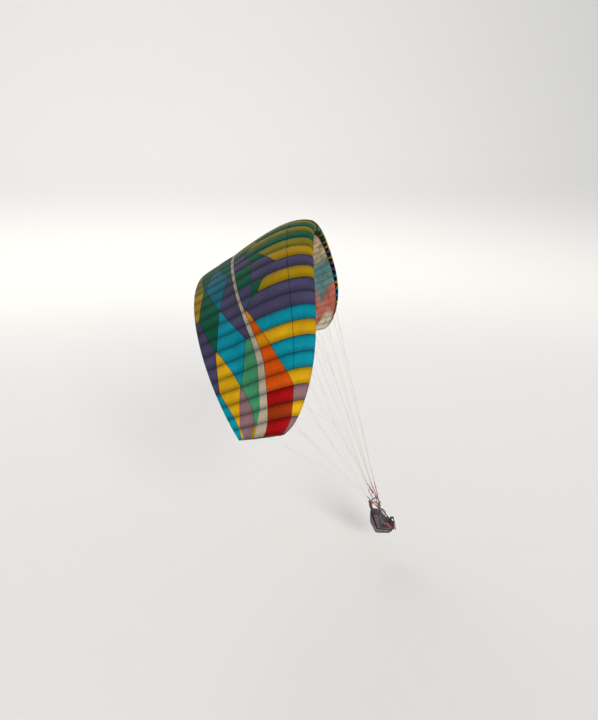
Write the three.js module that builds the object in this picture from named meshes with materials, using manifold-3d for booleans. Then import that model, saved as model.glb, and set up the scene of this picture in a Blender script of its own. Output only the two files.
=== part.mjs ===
// A paraglider held up by the air behind its harness, in millimetres.
// +X is forward, +Y is the rider's left and +Z is up. The origin is on the centre rib's
// chord, where the air carries the canopy. The canopy, its lines and its risers are pitched
// back about the carabiners, and the harness hangs upright from them.
import * as THREE from 'three';
import Module from 'manifold-3d';
import { mergeVertices } from 'three/addons/utils/BufferGeometryUtils.js';

const wasm = await Module();
wasm.setup();

// Canopy: driving dimensions, in the wing's own axes with the carabiners' line as zero.
const HALF_SPAN = 5600; // along the arc, from the centre rib to the tip rib
const ARC_ANGLE = 1.02; // tilt of the tip rib, radians, on a circular arc
const CHORD = 2540; // centre rib
const NOSE_X = 1420; // centre nose ahead of the carabiners
const HEIGHT = 6400; // centre chord above the carabiners
const PITCH_BACK = THREE.MathUtils.degToRad(26); // nose-up attitude while it is kited
const LIFT_SHARE = 0.3; // chord share of the point where the air holds the canopy
const SWEEP_POWERS = { round: 2, tip: 8, corner: 100 }; // of the span share
const NOSE_SWEEP = { round: 645, tip: 620, corner: 120 }; // nose falls back
const TAIL_SWEEP = { round: 433, tip: 53, corner: 0 }; // tail comes forward
const RIB_SKEW = { share: 0.04, fade: 0.25, place: 0.3 }; // ribs' tails lean to the centre
const THICKNESS = { centre: 0.19, tipLoss: 0.3 }; // share of the chord
const CAMBER = { height: 0.021, place: 0.3 };
const TIP_TWIST = 0.06; // radians, grows with the square of the span share
const TAIL_LIFT = { from: 0.7, slope: 0.137 }; // reflex of the last part of the chord
const CELLS_PER_SIDE = 19;
const TIP_NARROWING = 0.224; // cells get narrower towards the tip
const BILLOW = { share: 0.085, tailFade: 0.8 }; // crown of a cell, share of its width
const SKIN = 4.5; // modelled cloth wall
const RIB = 4;
const TAIL_WALL = 4; // half of the sewn trailing edge's thickness
const JOIN = 0.3; // running gap between touching pieces
const CHORD_SHARES = [0, 0.006, 0.03, 0.08, 0.16, 0.3, 0.5, 0.75, 1];
const HOLLOW_SHARES = [0.006, 0.03, 0.08, 0.16, 0.3, 0.5, 0.75, 0.92];
const MOUTH = { front: 0.012, back: 0.055, reach: 40, margin: 0.14 };
const SECTION_RIBS = [0, 4, 8, 12, 16, 19]; // rib numbers from the centre where nodes meet

// Lines: rows by chord share, and the ribs that the main lines run to.
const LINE_RADIUS = 1.1;
const LINE_GAP = { low: 0.4, high: 0.9 }; // clearance at a line's two ends
const LINE_ROWS = [
  // row, chord share, riser strap
  { row: 'a', share: 0.1, strap: 0 },
  { row: 'b', share: 0.33, strap: 1 },
  { row: 'c', share: 0.6, strap: 2 },
];
const LINE_RIBS = [3, 9, 15];
const STABILO = { rib: 19, share: 0.36, strap: 1 };
const BRAKE = { rib: 9 };

// Risers and carabiners, in the wing's axes about each carabiner's centre.
const HANG_HALF_WIDTH = 215;
const RING = { topRadius: 34, lowRadius: 30, wall: 12, drop: 52, depth: 12, bevel: 2 };
const LOOP = { width: 20, thick: 3, clear: 1.2, inside: 15.5, join: 46, top: 74, foot: 62 };
const STRAPS = [
  // fore-aft place and height of each strap's upper end
  { x: 78, z: 500 },
  { x: -4, z: 506 },
  { x: -92, z: 498 },
];
const STRAP_LEAN = 132; // outward place of the straps' upper ends
const STRAP = { width: 18, thick: 3 };
const LINK = { long: 30, wide: 18, wire: 4 };
const HANDLE = { high: 120, wide: 74, band: 12, depth: 22, z: 318 };

// Harness, in upright axes about the carabiners' line.
const SEAT = { back: -34, front: 346, halfWidth: 170, top: -430, thick: 45, corner: 45 };
const BACK = { lean: THREE.MathUtils.degToRad(20), long: 600, low: 168, high: 128, thick: 36 };
const PROTECTOR = { halfWidth: 150, drop: 125, behind: 95, rise: 300, edge: 20, round: 14 };
const PANEL = { y: 170.4, thick: 5 };
const WEBBING = { width: 25, thick: 4 };
const LEG_STRAP = { width: 38, thick: 5 };
const SPEED_BAR = { radius: 11, length: 320, below: 31 };

const canopyCloth = { color: 0x2f7a55, roughness: 0.62, metalness: 0 };
const lineCord = { color: 0xcfc7a2, roughness: 0.7, metalness: 0 };
const riserWeb = { color: 0x2b2d31, roughness: 0.85, metalness: 0 };
const steel = { color: 0xb9bcc0, roughness: 0.3, metalness: 1 };
const alloy = { color: 0x8d9298, roughness: 0.35, metalness: 1 };
const harnessCloth = { color: 0x1d1f24, roughness: 0.9, metalness: 0 };
const harnessAccent = { color: 0x3b4048, roughness: 0.85, metalness: 0 };
const handleCloth = { color: 0x8c2320, roughness: 0.8, metalness: 0 };

const FORWARD = new THREE.Vector3(1, 0, 0);
const SIDEWAYS = new THREE.Vector3(0, 1, 0);
const UPWARD = new THREE.Vector3(0, 0, 1);

// General shapes.
function closedMesh(rings) {
  // Rings of equal point count, each paired across so that its ends close with strips.
  const count = rings[0].length;
  const positions = rings.flat().flatMap((point) => [point.x, point.y, point.z]);
  const index = [];
  for (let ring = 0; ring + 1 < rings.length; ring += 1) {
    for (let i = 0; i < count; i += 1) {
      const a = ring * count + i;
      const b = ring * count + ((i + 1) % count);
      index.push(a, b, b + count, a, b + count, a + count);
    }
  }
  const last = (rings.length - 1) * count;
  for (let i = 0; i + 1 < count / 2; i += 1) {
    const j = count - 1 - i;
    const quad = [i, i + 1, j - 1, j];
    const split = quad[1] === quad[2] ? [[0, 1, 3]] : [[0, 1, 2], [0, 2, 3]];
    for (const [p, q, r] of split) {
      index.push(quad[p], quad[r], quad[q]);
      index.push(last + quad[p], last + quad[q], last + quad[r]);
    }
  }
  const geometry = new THREE.BufferGeometry();
  geometry.setAttribute('position', new THREE.Float32BufferAttribute(positions, 3));
  geometry.setIndex(index);
  return outward(geometry);
}

function signedVolume(geometry) {
  const position = geometry.getAttribute('position');
  const index = geometry.getIndex();
  const [a, b, c] = [new THREE.Vector3(), new THREE.Vector3(), new THREE.Vector3()];
  let volume = 0;
  for (let i = 0; i < index.count; i += 3) {
    a.fromBufferAttribute(position, index.getX(i));
    b.fromBufferAttribute(position, index.getX(i + 1));
    c.fromBufferAttribute(position, index.getX(i + 2));
    volume += a.dot(b.cross(c)) / 6;
  }
  return volume;
}

function flipped(geometry) {
  const index = geometry.getIndex();
  for (let i = 0; i < index.count; i += 3) {
    const keep = index.getX(i + 1);
    index.setX(i + 1, index.getX(i + 2));
    index.setX(i + 2, keep);
  }
  return geometry;
}

function outward(geometry) {
  return signedVolume(geometry) < 0 ? flipped(geometry) : geometry;
}

function merged(geometry) {
  const bare = geometry.clone();
  bare.deleteAttribute('normal');
  bare.deleteAttribute('uv');
  return mergeVertices(bare, 1e-4);
}

function toSolid(geometry) {
  const bare = merged(geometry);
  return new wasm.Manifold(new wasm.Mesh({
    numProp: 3,
    vertProperties: new Float32Array(bare.getAttribute('position').array),
    triVerts: new Uint32Array(bare.getIndex().array),
  }));
}

function toGeometry(solid) {
  const mesh = solid.getMesh();
  const geometry = new THREE.BufferGeometry();
  geometry.setAttribute('position', new THREE.BufferAttribute(mesh.vertProperties, 3));
  geometry.setIndex(new THREE.BufferAttribute(mesh.triVerts, 1));
  return geometry;
}

function joined(geometries) {
  return toGeometry(geometries.map(toSolid).reduce((sum, next) => sum.add(next)));
}

function mirrored(geometry) {
  return flipped(merged(geometry).scale(1, -1, 1));
}

function block(x, y, z) {
  // A box from pairs of low and high places.
  const geometry = new THREE.BoxGeometry(x[1] - x[0], y[1] - y[0], z[1] - z[0]);
  return geometry.translate((x[0] + x[1]) / 2, (y[0] + y[1]) / 2, (z[0] + z[1]) / 2);
}

function cord(from, to, radius) {
  const along = to.clone().sub(from);
  const geometry = new THREE.CylinderGeometry(radius, radius, along.length(), 5);
  const turn = new THREE.Quaternion()
    .setFromUnitVectors(new THREE.Vector3(0, 1, 0), along.clone().normalize());
  const middle = from.clone().add(to).multiplyScalar(0.5);
  return geometry.applyQuaternion(turn).translate(middle.x, middle.y, middle.z);
}

function band(points, from, to, steps) {
  // A flat strap along a smooth curve; from and to give its width, its thickness and the way
  // its width runs at either end.
  const curve = new THREE.CatmullRomCurve3(points, false, 'centripetal');
  const rings = [];
  for (let step = 0; step <= steps; step += 1) {
    const part = step / steps;
    const place = curve.getPoint(part);
    const along = curve.getTangent(part);
    const change = THREE.MathUtils.smoothstep(part, 0, 0.8);
    const axis = from.axis.clone().lerp(to.axis, change);
    const across = axis.addScaledVector(along, -axis.dot(along)).normalize();
    const normal = along.clone().cross(across);
    const width = THREE.MathUtils.lerp(from.width, to.width, change);
    const thick = THREE.MathUtils.lerp(from.thick, to.thick, change);
    rings.push([[-1, -1], [1, -1], [1, 1], [-1, 1]].map(([w, n]) => place.clone()
      .addScaledVector(across, (w * width) / 2)
      .addScaledVector(normal, (n * thick) / 2)));
  }
  return closedMesh(rings);
}

function places(rows) {
  return rows.map(([x, y, z]) => new THREE.Vector3(x, y, z));
}

// Canopy surface.
function sweep(amount, share) {
  return Object.entries(SWEEP_POWERS)
    .reduce((sum, [part, power]) => sum + amount[part] * share ** power, 0);
}

function ribShare(rib) {
  const even = rib / CELLS_PER_SIDE;
  return even * (1 + TIP_NARROWING) - TIP_NARROWING * even ** 3;
}

function halfThickness(c) {
  return 0.2969 * Math.sqrt(c) - 0.126 * c - 0.3516 * c ** 2 + 0.2843 * c ** 3 - 0.1036 * c ** 4;
}

function camberLine(c) {
  const { height, place } = CAMBER;
  if (c < place) return (height / place ** 2) * (2 * place * c - c ** 2);
  return (height / (1 - place) ** 2) * (1 - 2 * place + 2 * place * c - c ** 2);
}

// A point on the skin: span share s, chord share c, upper is 1 or -1, then how far it is
// moved out along the section's height and how much of the cell's billow it has.
function skinPoint(s, c, upper, inset = 0, crown = 0) {
  const nose = NOSE_X - sweep(NOSE_SWEEP, s);
  const tail = NOSE_X - CHORD + sweep(TAIL_SWEEP, s);
  const chord = nose - tail;
  const thickness = THICKNESS.centre * (1 - THICKNESS.tipLoss * s);
  const half = 5 * thickness * halfThickness(c) * chord + TAIL_WALL * c;
  const lift = c > TAIL_LIFT.from ? (c - TAIL_LIFT.from) * chord * TAIL_LIFT.slope : 0;
  const puff = crown * Math.sqrt(Math.min(1, c / 0.02)) * (1 - BILLOW.tailFade * c);
  const height = camberLine(c) * chord + upper * (half + puff - inset) + lift;
  const twist = TIP_TWIST * s ** 2;
  const along = c * chord;
  const x = nose - along * Math.cos(twist) + height * Math.sin(twist);
  const out = height * Math.cos(twist) + along * Math.sin(twist);
  const lean = RIB_SKEW.share * s * (1 - RIB_SKEW.fade * s ** 2) * (c - RIB_SKEW.place);
  const tilt = ARC_ANGLE * (s - lean);
  const arcRadius = HALF_SPAN / ARC_ANGLE;
  return new THREE.Vector3(
    x,
    arcRadius * Math.sin(tilt) + out * Math.sin(tilt),
    HEIGHT - arcRadius * (1 - Math.cos(tilt)) + out * Math.cos(tilt),
  );
}

function cellCrown(rib) {
  return BILLOW.share * HALF_SPAN * (ribShare(rib + 1) - ribShare(rib));
}

// The same point on the straight facets that join the chord shares.
function facetPoint(s, c, upper, inset = 0, crown = 0) {
  const next = Math.max(1, CHORD_SHARES.findIndex((share) => share >= c));
  const [low, high] = [CHORD_SHARES[next - 1], CHORD_SHARES[next]];
  const end = skinPoint(s, high, upper, inset, crown);
  return skinPoint(s, low, upper, inset, crown).lerp(end, (c - low) / (high - low));
}

function profileRing(s, shares, inset, crown) {
  const upper = shares.map((c) => facetPoint(s, c, 1, inset, crown));
  const lower = shares.map((c) => facetPoint(s, c, -1, inset, crown));
  const start = shares[0] === 0 ? 1 : 0;
  return [...upper.reverse(), ...lower.slice(start)];
}

function cellHollow(rib) {
  const wall = RIB / 2 / HALF_SPAN;
  const [low, high] = [ribShare(rib) + wall, ribShare(rib + 1) - wall];
  const crown = cellCrown(rib);
  const middle = (low + high) / 2;
  return closedMesh([
    profileRing(low, HOLLOW_SHARES, SKIN, 0),
    profileRing(middle, HOLLOW_SHARES, SKIN, crown),
    profileRing(high, HOLLOW_SHARES, SKIN, 0),
  ]);
}

function cellMouth(rib) {
  const width = ribShare(rib + 1) - ribShare(rib);
  const corners = [MOUTH.margin, 1 - MOUTH.margin].map((part) => {
    const s = ribShare(rib) + width * part;
    const front = skinPoint(s, MOUTH.front, -1);
    const back = skinPoint(s, MOUTH.back, -1);
    const span = skinPoint(s + 0.001, MOUTH.front, -1).sub(front);
    const inward = back.clone().sub(front).cross(span).normalize();
    if (inward.z < 0) inward.negate();
    return [
      front.clone().addScaledVector(inward, -MOUTH.reach),
      back.clone().addScaledVector(inward, -MOUTH.reach),
      back.clone().addScaledVector(inward, MOUTH.reach),
      front.clone().addScaledVector(inward, MOUTH.reach),
    ];
  });
  return closedMesh(corners);
}

function canopySection(first, last) {
  const rings = [];
  for (let rib = first; rib < last; rib += 1) {
    const [low, high] = [ribShare(rib), ribShare(rib + 1)];
    const start = rib === first ? low + JOIN / 2 / HALF_SPAN : low;
    rings.push(profileRing(start, CHORD_SHARES, 0, 0));
    rings.push(profileRing((low + high) / 2, CHORD_SHARES, 0, cellCrown(rib)));
  }
  const edge = last === CELLS_PER_SIDE ? 0 : JOIN / 2 / HALF_SPAN;
  rings.push(profileRing(ribShare(last) - edge, CHORD_SHARES, 0, 0));
  let solid = toSolid(closedMesh(rings));
  for (let rib = first; rib < last; rib += 1) {
    if (rib === CELLS_PER_SIDE - 1) continue; // the outermost cell is closed
    solid = solid.subtract(toSolid(cellHollow(rib))).subtract(toSolid(cellMouth(rib)));
  }
  return toGeometry(solid);
}

function tabPoint(rib, share) {
  return facetPoint(ribShare(rib), share, -1);
}

// Risers, links and lines, left side, in wing axes about the carabiners' line.
function strapTop(strap) {
  const { x, z } = STRAPS[strap];
  return new THREE.Vector3(x, HANG_HALF_WIDTH + STRAP_LEAN, z);
}

function strapFoot() {
  return new THREE.Vector3(0, HANG_HALF_WIDTH, LOOP.foot);
}

function strapAlong(strap) {
  return strapTop(strap).sub(strapFoot()).normalize();
}

function riser() {
  const half = LOOP.width / 2;
  const inner = RING.depth / 2 + LOOP.clear;
  const outer = inner + LOOP.thick;
  const y = HANG_HALF_WIDTH;
  const { inside, thick, join, top } = LOOP;
  const parts = [
    block([-half, half], [y - outer, y + outer], [inside, inside + thick]),
    block([-half, half], [y - outer, y - inner], [inside, top]),
    block([-half, half], [y + inner, y + outer], [inside, top]),
    block([-half, half], [y - outer, y + outer], [join, top]),
  ];
  STRAPS.forEach((_, strap) => {
    const size = { ...STRAP, axis: FORWARD };
    parts.push(band([strapFoot(), strapTop(strap)], size, size, 1));
  });
  return joined(parts);
}

function roundedOutline(long, wide) {
  // A ring's outline with round ends, in a plane whose Y is its length.
  const shape = new THREE.Shape();
  const straight = (long - wide) / 2;
  shape.absarc(0, straight, wide / 2, 0, Math.PI, false);
  shape.absarc(0, -straight, wide / 2, Math.PI, 2 * Math.PI, false);
  shape.closePath();
  return shape;
}

// Axes on a strap: X across its width, Y along it, Z out of its face, at a place.
function onStrap(strap, geometry, centre) {
  const along = strapAlong(strap);
  const across = FORWARD.clone().addScaledVector(along, -FORWARD.dot(along)).normalize();
  const axes = new THREE.Matrix4().makeBasis(across, along, across.clone().cross(along));
  return geometry.applyMatrix4(axes.setPosition(centre));
}

function linkRing(strap) {
  const shape = roundedOutline(LINK.long, LINK.wide);
  shape.holes.push(roundedOutline(LINK.long - 2 * LINK.wire, LINK.wide - 2 * LINK.wire));
  const geometry = new THREE.ExtrudeGeometry(shape, {
    depth: LINK.wire, bevelEnabled: false, curveSegments: 5,
  }).translate(0, LINK.long / 2 + JOIN, -LINK.wire / 2);
  return onStrap(strap, geometry, strapTop(strap));
}

function lineStart(strap, slot) {
  // Lines leave the upper end of the link side by side.
  const start = strapTop(strap).addScaledVector(strapAlong(strap), LINK.long + 2 * JOIN);
  return start.add(new THREE.Vector3(slot * 4, 0, 0));
}

function tautLine(start, end) {
  const along = end.clone().sub(start).normalize();
  const from = start.clone().addScaledVector(along, LINE_GAP.low);
  return cord(from, end.clone().addScaledVector(along, -LINE_GAP.high), LINE_RADIUS);
}

function handlePlace(up) {
  // The parked handle's centre, or a place above it, behind the rear strap's edge.
  const share = (HANDLE.z - LOOP.foot) / (STRAPS[2].z - LOOP.foot);
  const centre = strapFoot().lerp(strapTop(2), share);
  const offset = new THREE.Vector3(-(STRAP.width + HANDLE.wide) / 2 - 2 * JOIN, up, 0);
  const marker = new THREE.BufferGeometry().setFromPoints([offset]);
  const placed = onStrap(2, marker, centre).getAttribute('position');
  return new THREE.Vector3().fromBufferAttribute(placed, 0);
}

function brakeHandle() {
  // A webbing loop for the hand, parked behind the rear strap.
  const shape = roundedOutline(HANDLE.high, HANDLE.wide);
  const [high, wide] = [HANDLE.high - 2 * HANDLE.band, HANDLE.wide - 2 * HANDLE.band];
  shape.holes.push(roundedOutline(high, wide));
  const geometry = new THREE.ExtrudeGeometry(shape, {
    depth: HANDLE.depth, bevelEnabled: false, curveSegments: 6,
  }).translate(0, 0, -HANDLE.depth / 2);
  return onStrap(2, geometry, handlePlace(0));
}

// Harness pieces in upright axes.
function ringArc(shape, radius, height, from, to, steps) {
  for (let step = 0; step <= steps; step += 1) {
    const angle = from + ((to - from) * step) / steps;
    shape.push(new THREE.Vector2(radius * Math.cos(angle), height + radius * Math.sin(angle)));
  }
}

function ringOutline(inset) {
  const points = [];
  ringArc(points, RING.topRadius - inset, 0, 0, Math.PI, 12);
  ringArc(points, RING.lowRadius - inset, -RING.drop, Math.PI, 2 * Math.PI, 12);
  return points;
}

function carabiner() {
  const shape = new THREE.Shape(ringOutline(RING.bevel));
  shape.holes.push(new THREE.Path(ringOutline(RING.wall - RING.bevel)));
  const geometry = new THREE.ExtrudeGeometry(shape, {
    depth: RING.depth - 2 * RING.bevel,
    bevelThickness: RING.bevel,
    bevelSize: RING.bevel,
    bevelSegments: 1,
  }).translate(0, 0, -RING.depth / 2 + RING.bevel);
  return geometry.rotateX(Math.PI / 2).translate(0, HANG_HALF_WIDTH, 0);
}

function backPoint(along, out) {
  // A place on the back rest: how far up it, and how far behind its front face.
  const foot = new THREE.Vector3(SEAT.back, 0, SEAT.top + 4);
  const up = new THREE.Vector3(-Math.sin(BACK.lean), 0, Math.cos(BACK.lean));
  const behind = new THREE.Vector3(-Math.cos(BACK.lean), 0, -Math.sin(BACK.lean));
  return foot.addScaledVector(up, along).addScaledVector(behind, out);
}

function seat() {
  const { back, front, halfWidth, top, thick, corner } = SEAT;
  const shape = new THREE.Shape();
  shape.absarc(front - corner, halfWidth - corner, corner, 0, Math.PI / 2, false);
  shape.absarc(back + corner, halfWidth - corner, corner, Math.PI / 2, Math.PI, false);
  shape.absarc(back + corner, corner - halfWidth, corner, Math.PI, 1.5 * Math.PI, false);
  shape.absarc(front - corner, corner - halfWidth, corner, 1.5 * Math.PI, 2 * Math.PI, false);
  shape.closePath();
  return new THREE.ExtrudeGeometry(shape, {
    depth: thick - 12, bevelThickness: 6, bevelSize: 6, bevelOffset: -6, bevelSegments: 2,
    curveSegments: 4,
  }).translate(0, 0, top - thick + 6);
}

function backRest() {
  const levels = [
    // along the back, half width, thickness
    [0, BACK.low - 12, BACK.thick * 0.6],
    [20, BACK.low, BACK.thick],
    [BACK.long * 0.45, BACK.low - 8, BACK.thick],
    [BACK.long - 40, BACK.high, BACK.thick],
    [BACK.long, BACK.high - 30, BACK.thick * 0.6],
  ];
  return closedMesh(levels.map(([along, half, thick]) => {
    const front = backPoint(along, JOIN);
    const rear = backPoint(along, JOIN + thick);
    return [
      front.clone().setY(-half + 14), front.clone().setY(half - 14),
      front.clone().lerp(rear, 0.35).setY(half), rear.clone().setY(half - 10),
      rear.clone().setY(10 - half), front.clone().lerp(rear, 0.35).setY(-half),
    ];
  }));
}

function protector() {
  // Foam under the seat and up behind the hips.
  const under = SEAT.top - SEAT.thick - JOIN;
  const low = under - PROTECTOR.drop;
  const behind = BACK.thick + 3 * JOIN;
  const wall = (height) => {
    const rise = height - backPoint(0, behind).z;
    return backPoint(rise / Math.cos(BACK.lean), behind).x;
  };
  const crown = SEAT.top + PROTECTOR.rise;
  const points = [
    [SEAT.front - 40, under], [SEAT.back - 14, under], [wall(under + 60), under + 60],
    [wall(crown), crown], [wall(crown) - 45, crown - 8],
    [wall(under + 200) - PROTECTOR.behind, under + 150],
    [SEAT.back - PROTECTOR.behind + 6, low + 60], [SEAT.back - 60, low + 8],
    [SEAT.back + 60, low], [SEAT.front - 130, low + 12], [SEAT.front - 40, under - 42],
  ];
  const shape = new THREE.Shape(points.map(([x, z]) => new THREE.Vector2(x, z)));
  return new THREE.ExtrudeGeometry(shape, {
    depth: 2 * (PROTECTOR.halfWidth - PROTECTOR.edge),
    bevelThickness: PROTECTOR.edge,
    bevelSize: PROTECTOR.round,
    bevelOffset: -PROTECTOR.round,
    bevelSegments: 2,
  }).translate(0, 0, PROTECTOR.edge - PROTECTOR.halfWidth).rotateX(Math.PI / 2);
}

function sidePanel() {
  // Cloth from the seat's edge to the back rest, cut away towards the front.
  const points = [
    [SEAT.front - 50, SEAT.top - 8], [SEAT.front - 50, SEAT.top + 30],
    [SEAT.back + 150, SEAT.top + 130], [SEAT.back + 40, SEAT.top + 290],
    [backPoint(330, 10).x, backPoint(330, 10).z], [backPoint(0, 10).x, SEAT.top - 8],
  ];
  const shape = new THREE.Shape(points.map(([x, z]) => new THREE.Vector2(x, z)));
  return new THREE.ExtrudeGeometry(shape, { depth: PANEL.thick, bevelEnabled: false })
    .rotateX(Math.PI / 2).translate(0, PANEL.y + PANEL.thick, 0);
}

function mainStrap() {
  // The loop in the carabiner and the two webbings down to the seat.
  const half = WEBBING.width / 2;
  const y = HANG_HALF_WIDTH;
  const inner = RING.depth / 2 + LOOP.clear;
  const outer = inner + LOOP.thick;
  const inside = -RING.drop - 12;
  const join = -RING.drop - RING.lowRadius - 8;
  const low = join - 34;
  const parts = [
    block([-half, half], [y - outer, y + outer], [inside, inside + LOOP.thick]),
    block([-half, half], [y - outer, y - inner], [low, inside + LOOP.thick]),
    block([-half, half], [y + inner, y + outer], [low, inside + LOOP.thick]),
    block([-half, half], [y - outer, y + outer], [low, join]),
  ];
  const foot = new THREE.Vector3(0, y, low + 12);
  const edge = PANEL.y + PANEL.thick + JOIN + WEBBING.thick / 2;
  const ends = [
    [SEAT.front - 70, SEAT.top - 20], [SEAT.back + 45, SEAT.top - 20],
  ];
  for (const [x, z] of ends) {
    const knee = new THREE.Vector3(x * 0.78, edge + 3, z * 0.78);
    const size = { ...WEBBING, axis: FORWARD };
    parts.push(band([foot, knee, new THREE.Vector3(x, edge, z)], size, size, 6));
  }
  return joined(parts);
}

function shoulderStrap() {
  // From the back rest's top over the shoulder and down to the inner side of the main webbing.
  const top = backPoint(BACK.long - 60, -6);
  const flat = HANG_HALF_WIDTH - RING.depth / 2 - LOOP.clear - LOOP.thick - JOIN - 1.5;
  const route = places([
    [top.x, 86, top.z], [top.x + 40, 90, top.z + 66], [top.x + 108, 100, top.z + 88],
    [-40, 116, 118], [-16, 138, 40], [-14, 166, -30], [-8, 190, -76],
    [-2, flat - 2.2, -100], [0, flat - 0.3, -126], [0, flat - 0.3, -152],
  ]);
  return band(route, { width: 48, thick: 9, axis: SIDEWAYS },
    { width: 25, thick: 3, axis: FORWARD }, 22);
}

function chestStrap() {
  const y = HANG_HALF_WIDTH - RING.depth / 2 - LOOP.clear - LOOP.thick - JOIN - 5.3;
  const half = [
    [-11, y, -137], [14, y - 0.6, -137], [64, y - 22, -138], [112, 100, -140],
  ];
  const others = half.map(([x, side, z]) => [x, -side, z]).reverse();
  const route = places([...half, [126, 0, -142], ...others]);
  const size = { width: 25, thick: 3, axis: UPWARD };
  const buckle = block([119, 135], [-34, 34], [-163, -121]);
  return joined([band(route, size, size, 20), buckle]);
}

function legStrap() {
  // Over the thigh, from the seat's front face to the side panel's inner face.
  const { width, thick } = LEG_STRAP;
  const ahead = SEAT.front + JOIN + thick / 2;
  const outside = PANEL.y - JOIN - thick / 2;
  const route = places([
    [ahead, 34, SEAT.top - 17], [ahead, 35, SEAT.top + 20],
    [ahead - 8, 44, SEAT.top + 72], [ahead - 30, 66, SEAT.top + 120],
    [ahead - 56, 104, SEAT.top + 148], [ahead - 78, 146, SEAT.top + 112],
    [ahead - 88, outside - 1, SEAT.top + 54], [ahead - 88, outside, SEAT.top + 26],
    [ahead - 88, outside, SEAT.top + JOIN],
  ]);
  return band(route, { width, thick, axis: SIDEWAYS }, { width, thick, axis: FORWARD }, 16);
}

function speedBar() {
  const { radius, length, below } = SPEED_BAR;
  return new THREE.CylinderGeometry(radius, radius, length, 12)
    .translate(SEAT.front + radius + JOIN, 0, SEAT.top - below);
}

// Assembly.
const paraglider = new THREE.Group();
const wing = new THREE.Group();
const harness = new THREE.Group();
const lift = new THREE.Vector3(NOSE_X - LIFT_SHARE * CHORD, 0, HEIGHT);
wing.rotation.y = -PITCH_BACK;
const hang = lift.clone().applyAxisAngle(new THREE.Vector3(0, 1, 0), -PITCH_BACK).negate();
wing.position.copy(hang);
harness.position.copy(hang);
paraglider.add(wing, harness);

function place(parent, name, geometry, look) {
  const mesh = new THREE.Mesh(geometry, new THREE.MeshStandardMaterial(look));
  mesh.name = name;
  parent.add(mesh);
}

function placePair(parent, name, geometry, look) {
  place(parent, `${name}_left`, geometry, look);
  place(parent, `${name}_right`, mirrored(geometry), look);
}

for (let section = 0; section + 1 < SECTION_RIBS.length; section += 1) {
  const shell = canopySection(SECTION_RIBS[section], SECTION_RIBS[section + 1]);
  placePair(wing, `canopy_${section + 1}`, shell, canopyCloth);
}
for (const { row, share, strap } of LINE_ROWS) {
  LINE_RIBS.forEach((rib, i) => {
    const line = tautLine(lineStart(strap, i - 1), tabPoint(rib, share));
    placePair(wing, `line_${row}${i + 1}`, line, lineCord);
  });
  placePair(wing, `link_${row}`, linkRing(strap), steel);
}
const stabilo = tautLine(lineStart(STABILO.strap, 2), tabPoint(STABILO.rib, STABILO.share));
placePair(wing, 'line_stabilo', stabilo, lineCord);
placePair(wing, 'riser', riser(), riserWeb);
placePair(wing, 'brake_handle', brakeHandle(), handleCloth);
const brakeTab = skinPoint(ribShare(BRAKE.rib), 1, -1);
const brakeLine = tautLine(handlePlace(HANDLE.high / 2 + JOIN), brakeTab);
placePair(wing, 'line_brake', brakeLine, lineCord);

placePair(harness, 'carabiner', carabiner(), alloy);
place(harness, 'seat', seat(), harnessCloth);
place(harness, 'back_rest', backRest(), harnessCloth);
place(harness, 'protector', protector(), harnessAccent);
placePair(harness, 'side_panel', sidePanel(), harnessAccent);
placePair(harness, 'main_strap', mainStrap(), riserWeb);
placePair(harness, 'shoulder_strap', shoulderStrap(), harnessCloth);
place(harness, 'chest_strap', chestStrap(), riserWeb);
placePair(harness, 'leg_strap', legStrap(), riserWeb);
place(harness, 'speed_bar', speedBar(), alloy);

export default paraglider;
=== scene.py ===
"""A paraglider held up by the air behind its harness: cloth, lines, hardware and a pale studio.

Metres, in the part's own axes: +X forward, +Y left, +Z up, origin on the centre rib.
"""
import math

import bpy
import numpy as np
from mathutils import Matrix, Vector
from mathutils.bvhtree import BVHTree


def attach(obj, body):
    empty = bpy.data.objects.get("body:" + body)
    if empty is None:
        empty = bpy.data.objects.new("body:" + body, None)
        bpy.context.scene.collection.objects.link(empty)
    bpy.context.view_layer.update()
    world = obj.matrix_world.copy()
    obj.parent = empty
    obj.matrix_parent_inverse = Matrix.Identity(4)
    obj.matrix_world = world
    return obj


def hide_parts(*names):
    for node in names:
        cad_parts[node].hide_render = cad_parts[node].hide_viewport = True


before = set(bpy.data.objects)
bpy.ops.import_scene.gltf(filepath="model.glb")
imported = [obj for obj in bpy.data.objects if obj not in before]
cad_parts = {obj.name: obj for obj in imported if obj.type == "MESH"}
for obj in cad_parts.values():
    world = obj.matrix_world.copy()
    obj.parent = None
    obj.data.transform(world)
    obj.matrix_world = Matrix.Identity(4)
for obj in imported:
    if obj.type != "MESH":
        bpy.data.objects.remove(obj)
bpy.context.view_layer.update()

# Driving dimensions, the same as the part's.
HALF_SPAN = 5.6
ARC_ANGLE = 1.02
CHORD = 2.54
NOSE_X = 1.42
HEIGHT = 6.4
PITCH_BACK = math.radians(26)
LIFT_SHARE = 0.3
SWEEP_POWERS = (2, 8, 100)
NOSE_SWEEP = (0.645, 0.620, 0.120)
TAIL_SWEEP = (0.433, 0.053, 0.0)
SKEW_SHARE, SKEW_FADE, SKEW_PLACE = 0.04, 0.25, 0.3
THICKNESS, TIP_LOSS = 0.19, 0.3
CAMBER, CAMBER_PLACE = 0.021, 0.3
TIP_TWIST = 0.06
TAIL_LIFT_FROM, TAIL_LIFT_SLOPE = 0.7, 0.137
CELLS = 19
TIP_NARROWING = 0.224
BILLOW, TAIL_FADE = 0.085, 0.8
TAIL_WALL = 0.004
MOUTH_FRONT, MOUTH_BACK = 0.012, 0.055
SECTION_RIBS = [0, 4, 8, 12, 16, 19]
OPEN_CELLS = 18
HANG_SIDE = 0.215

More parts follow.
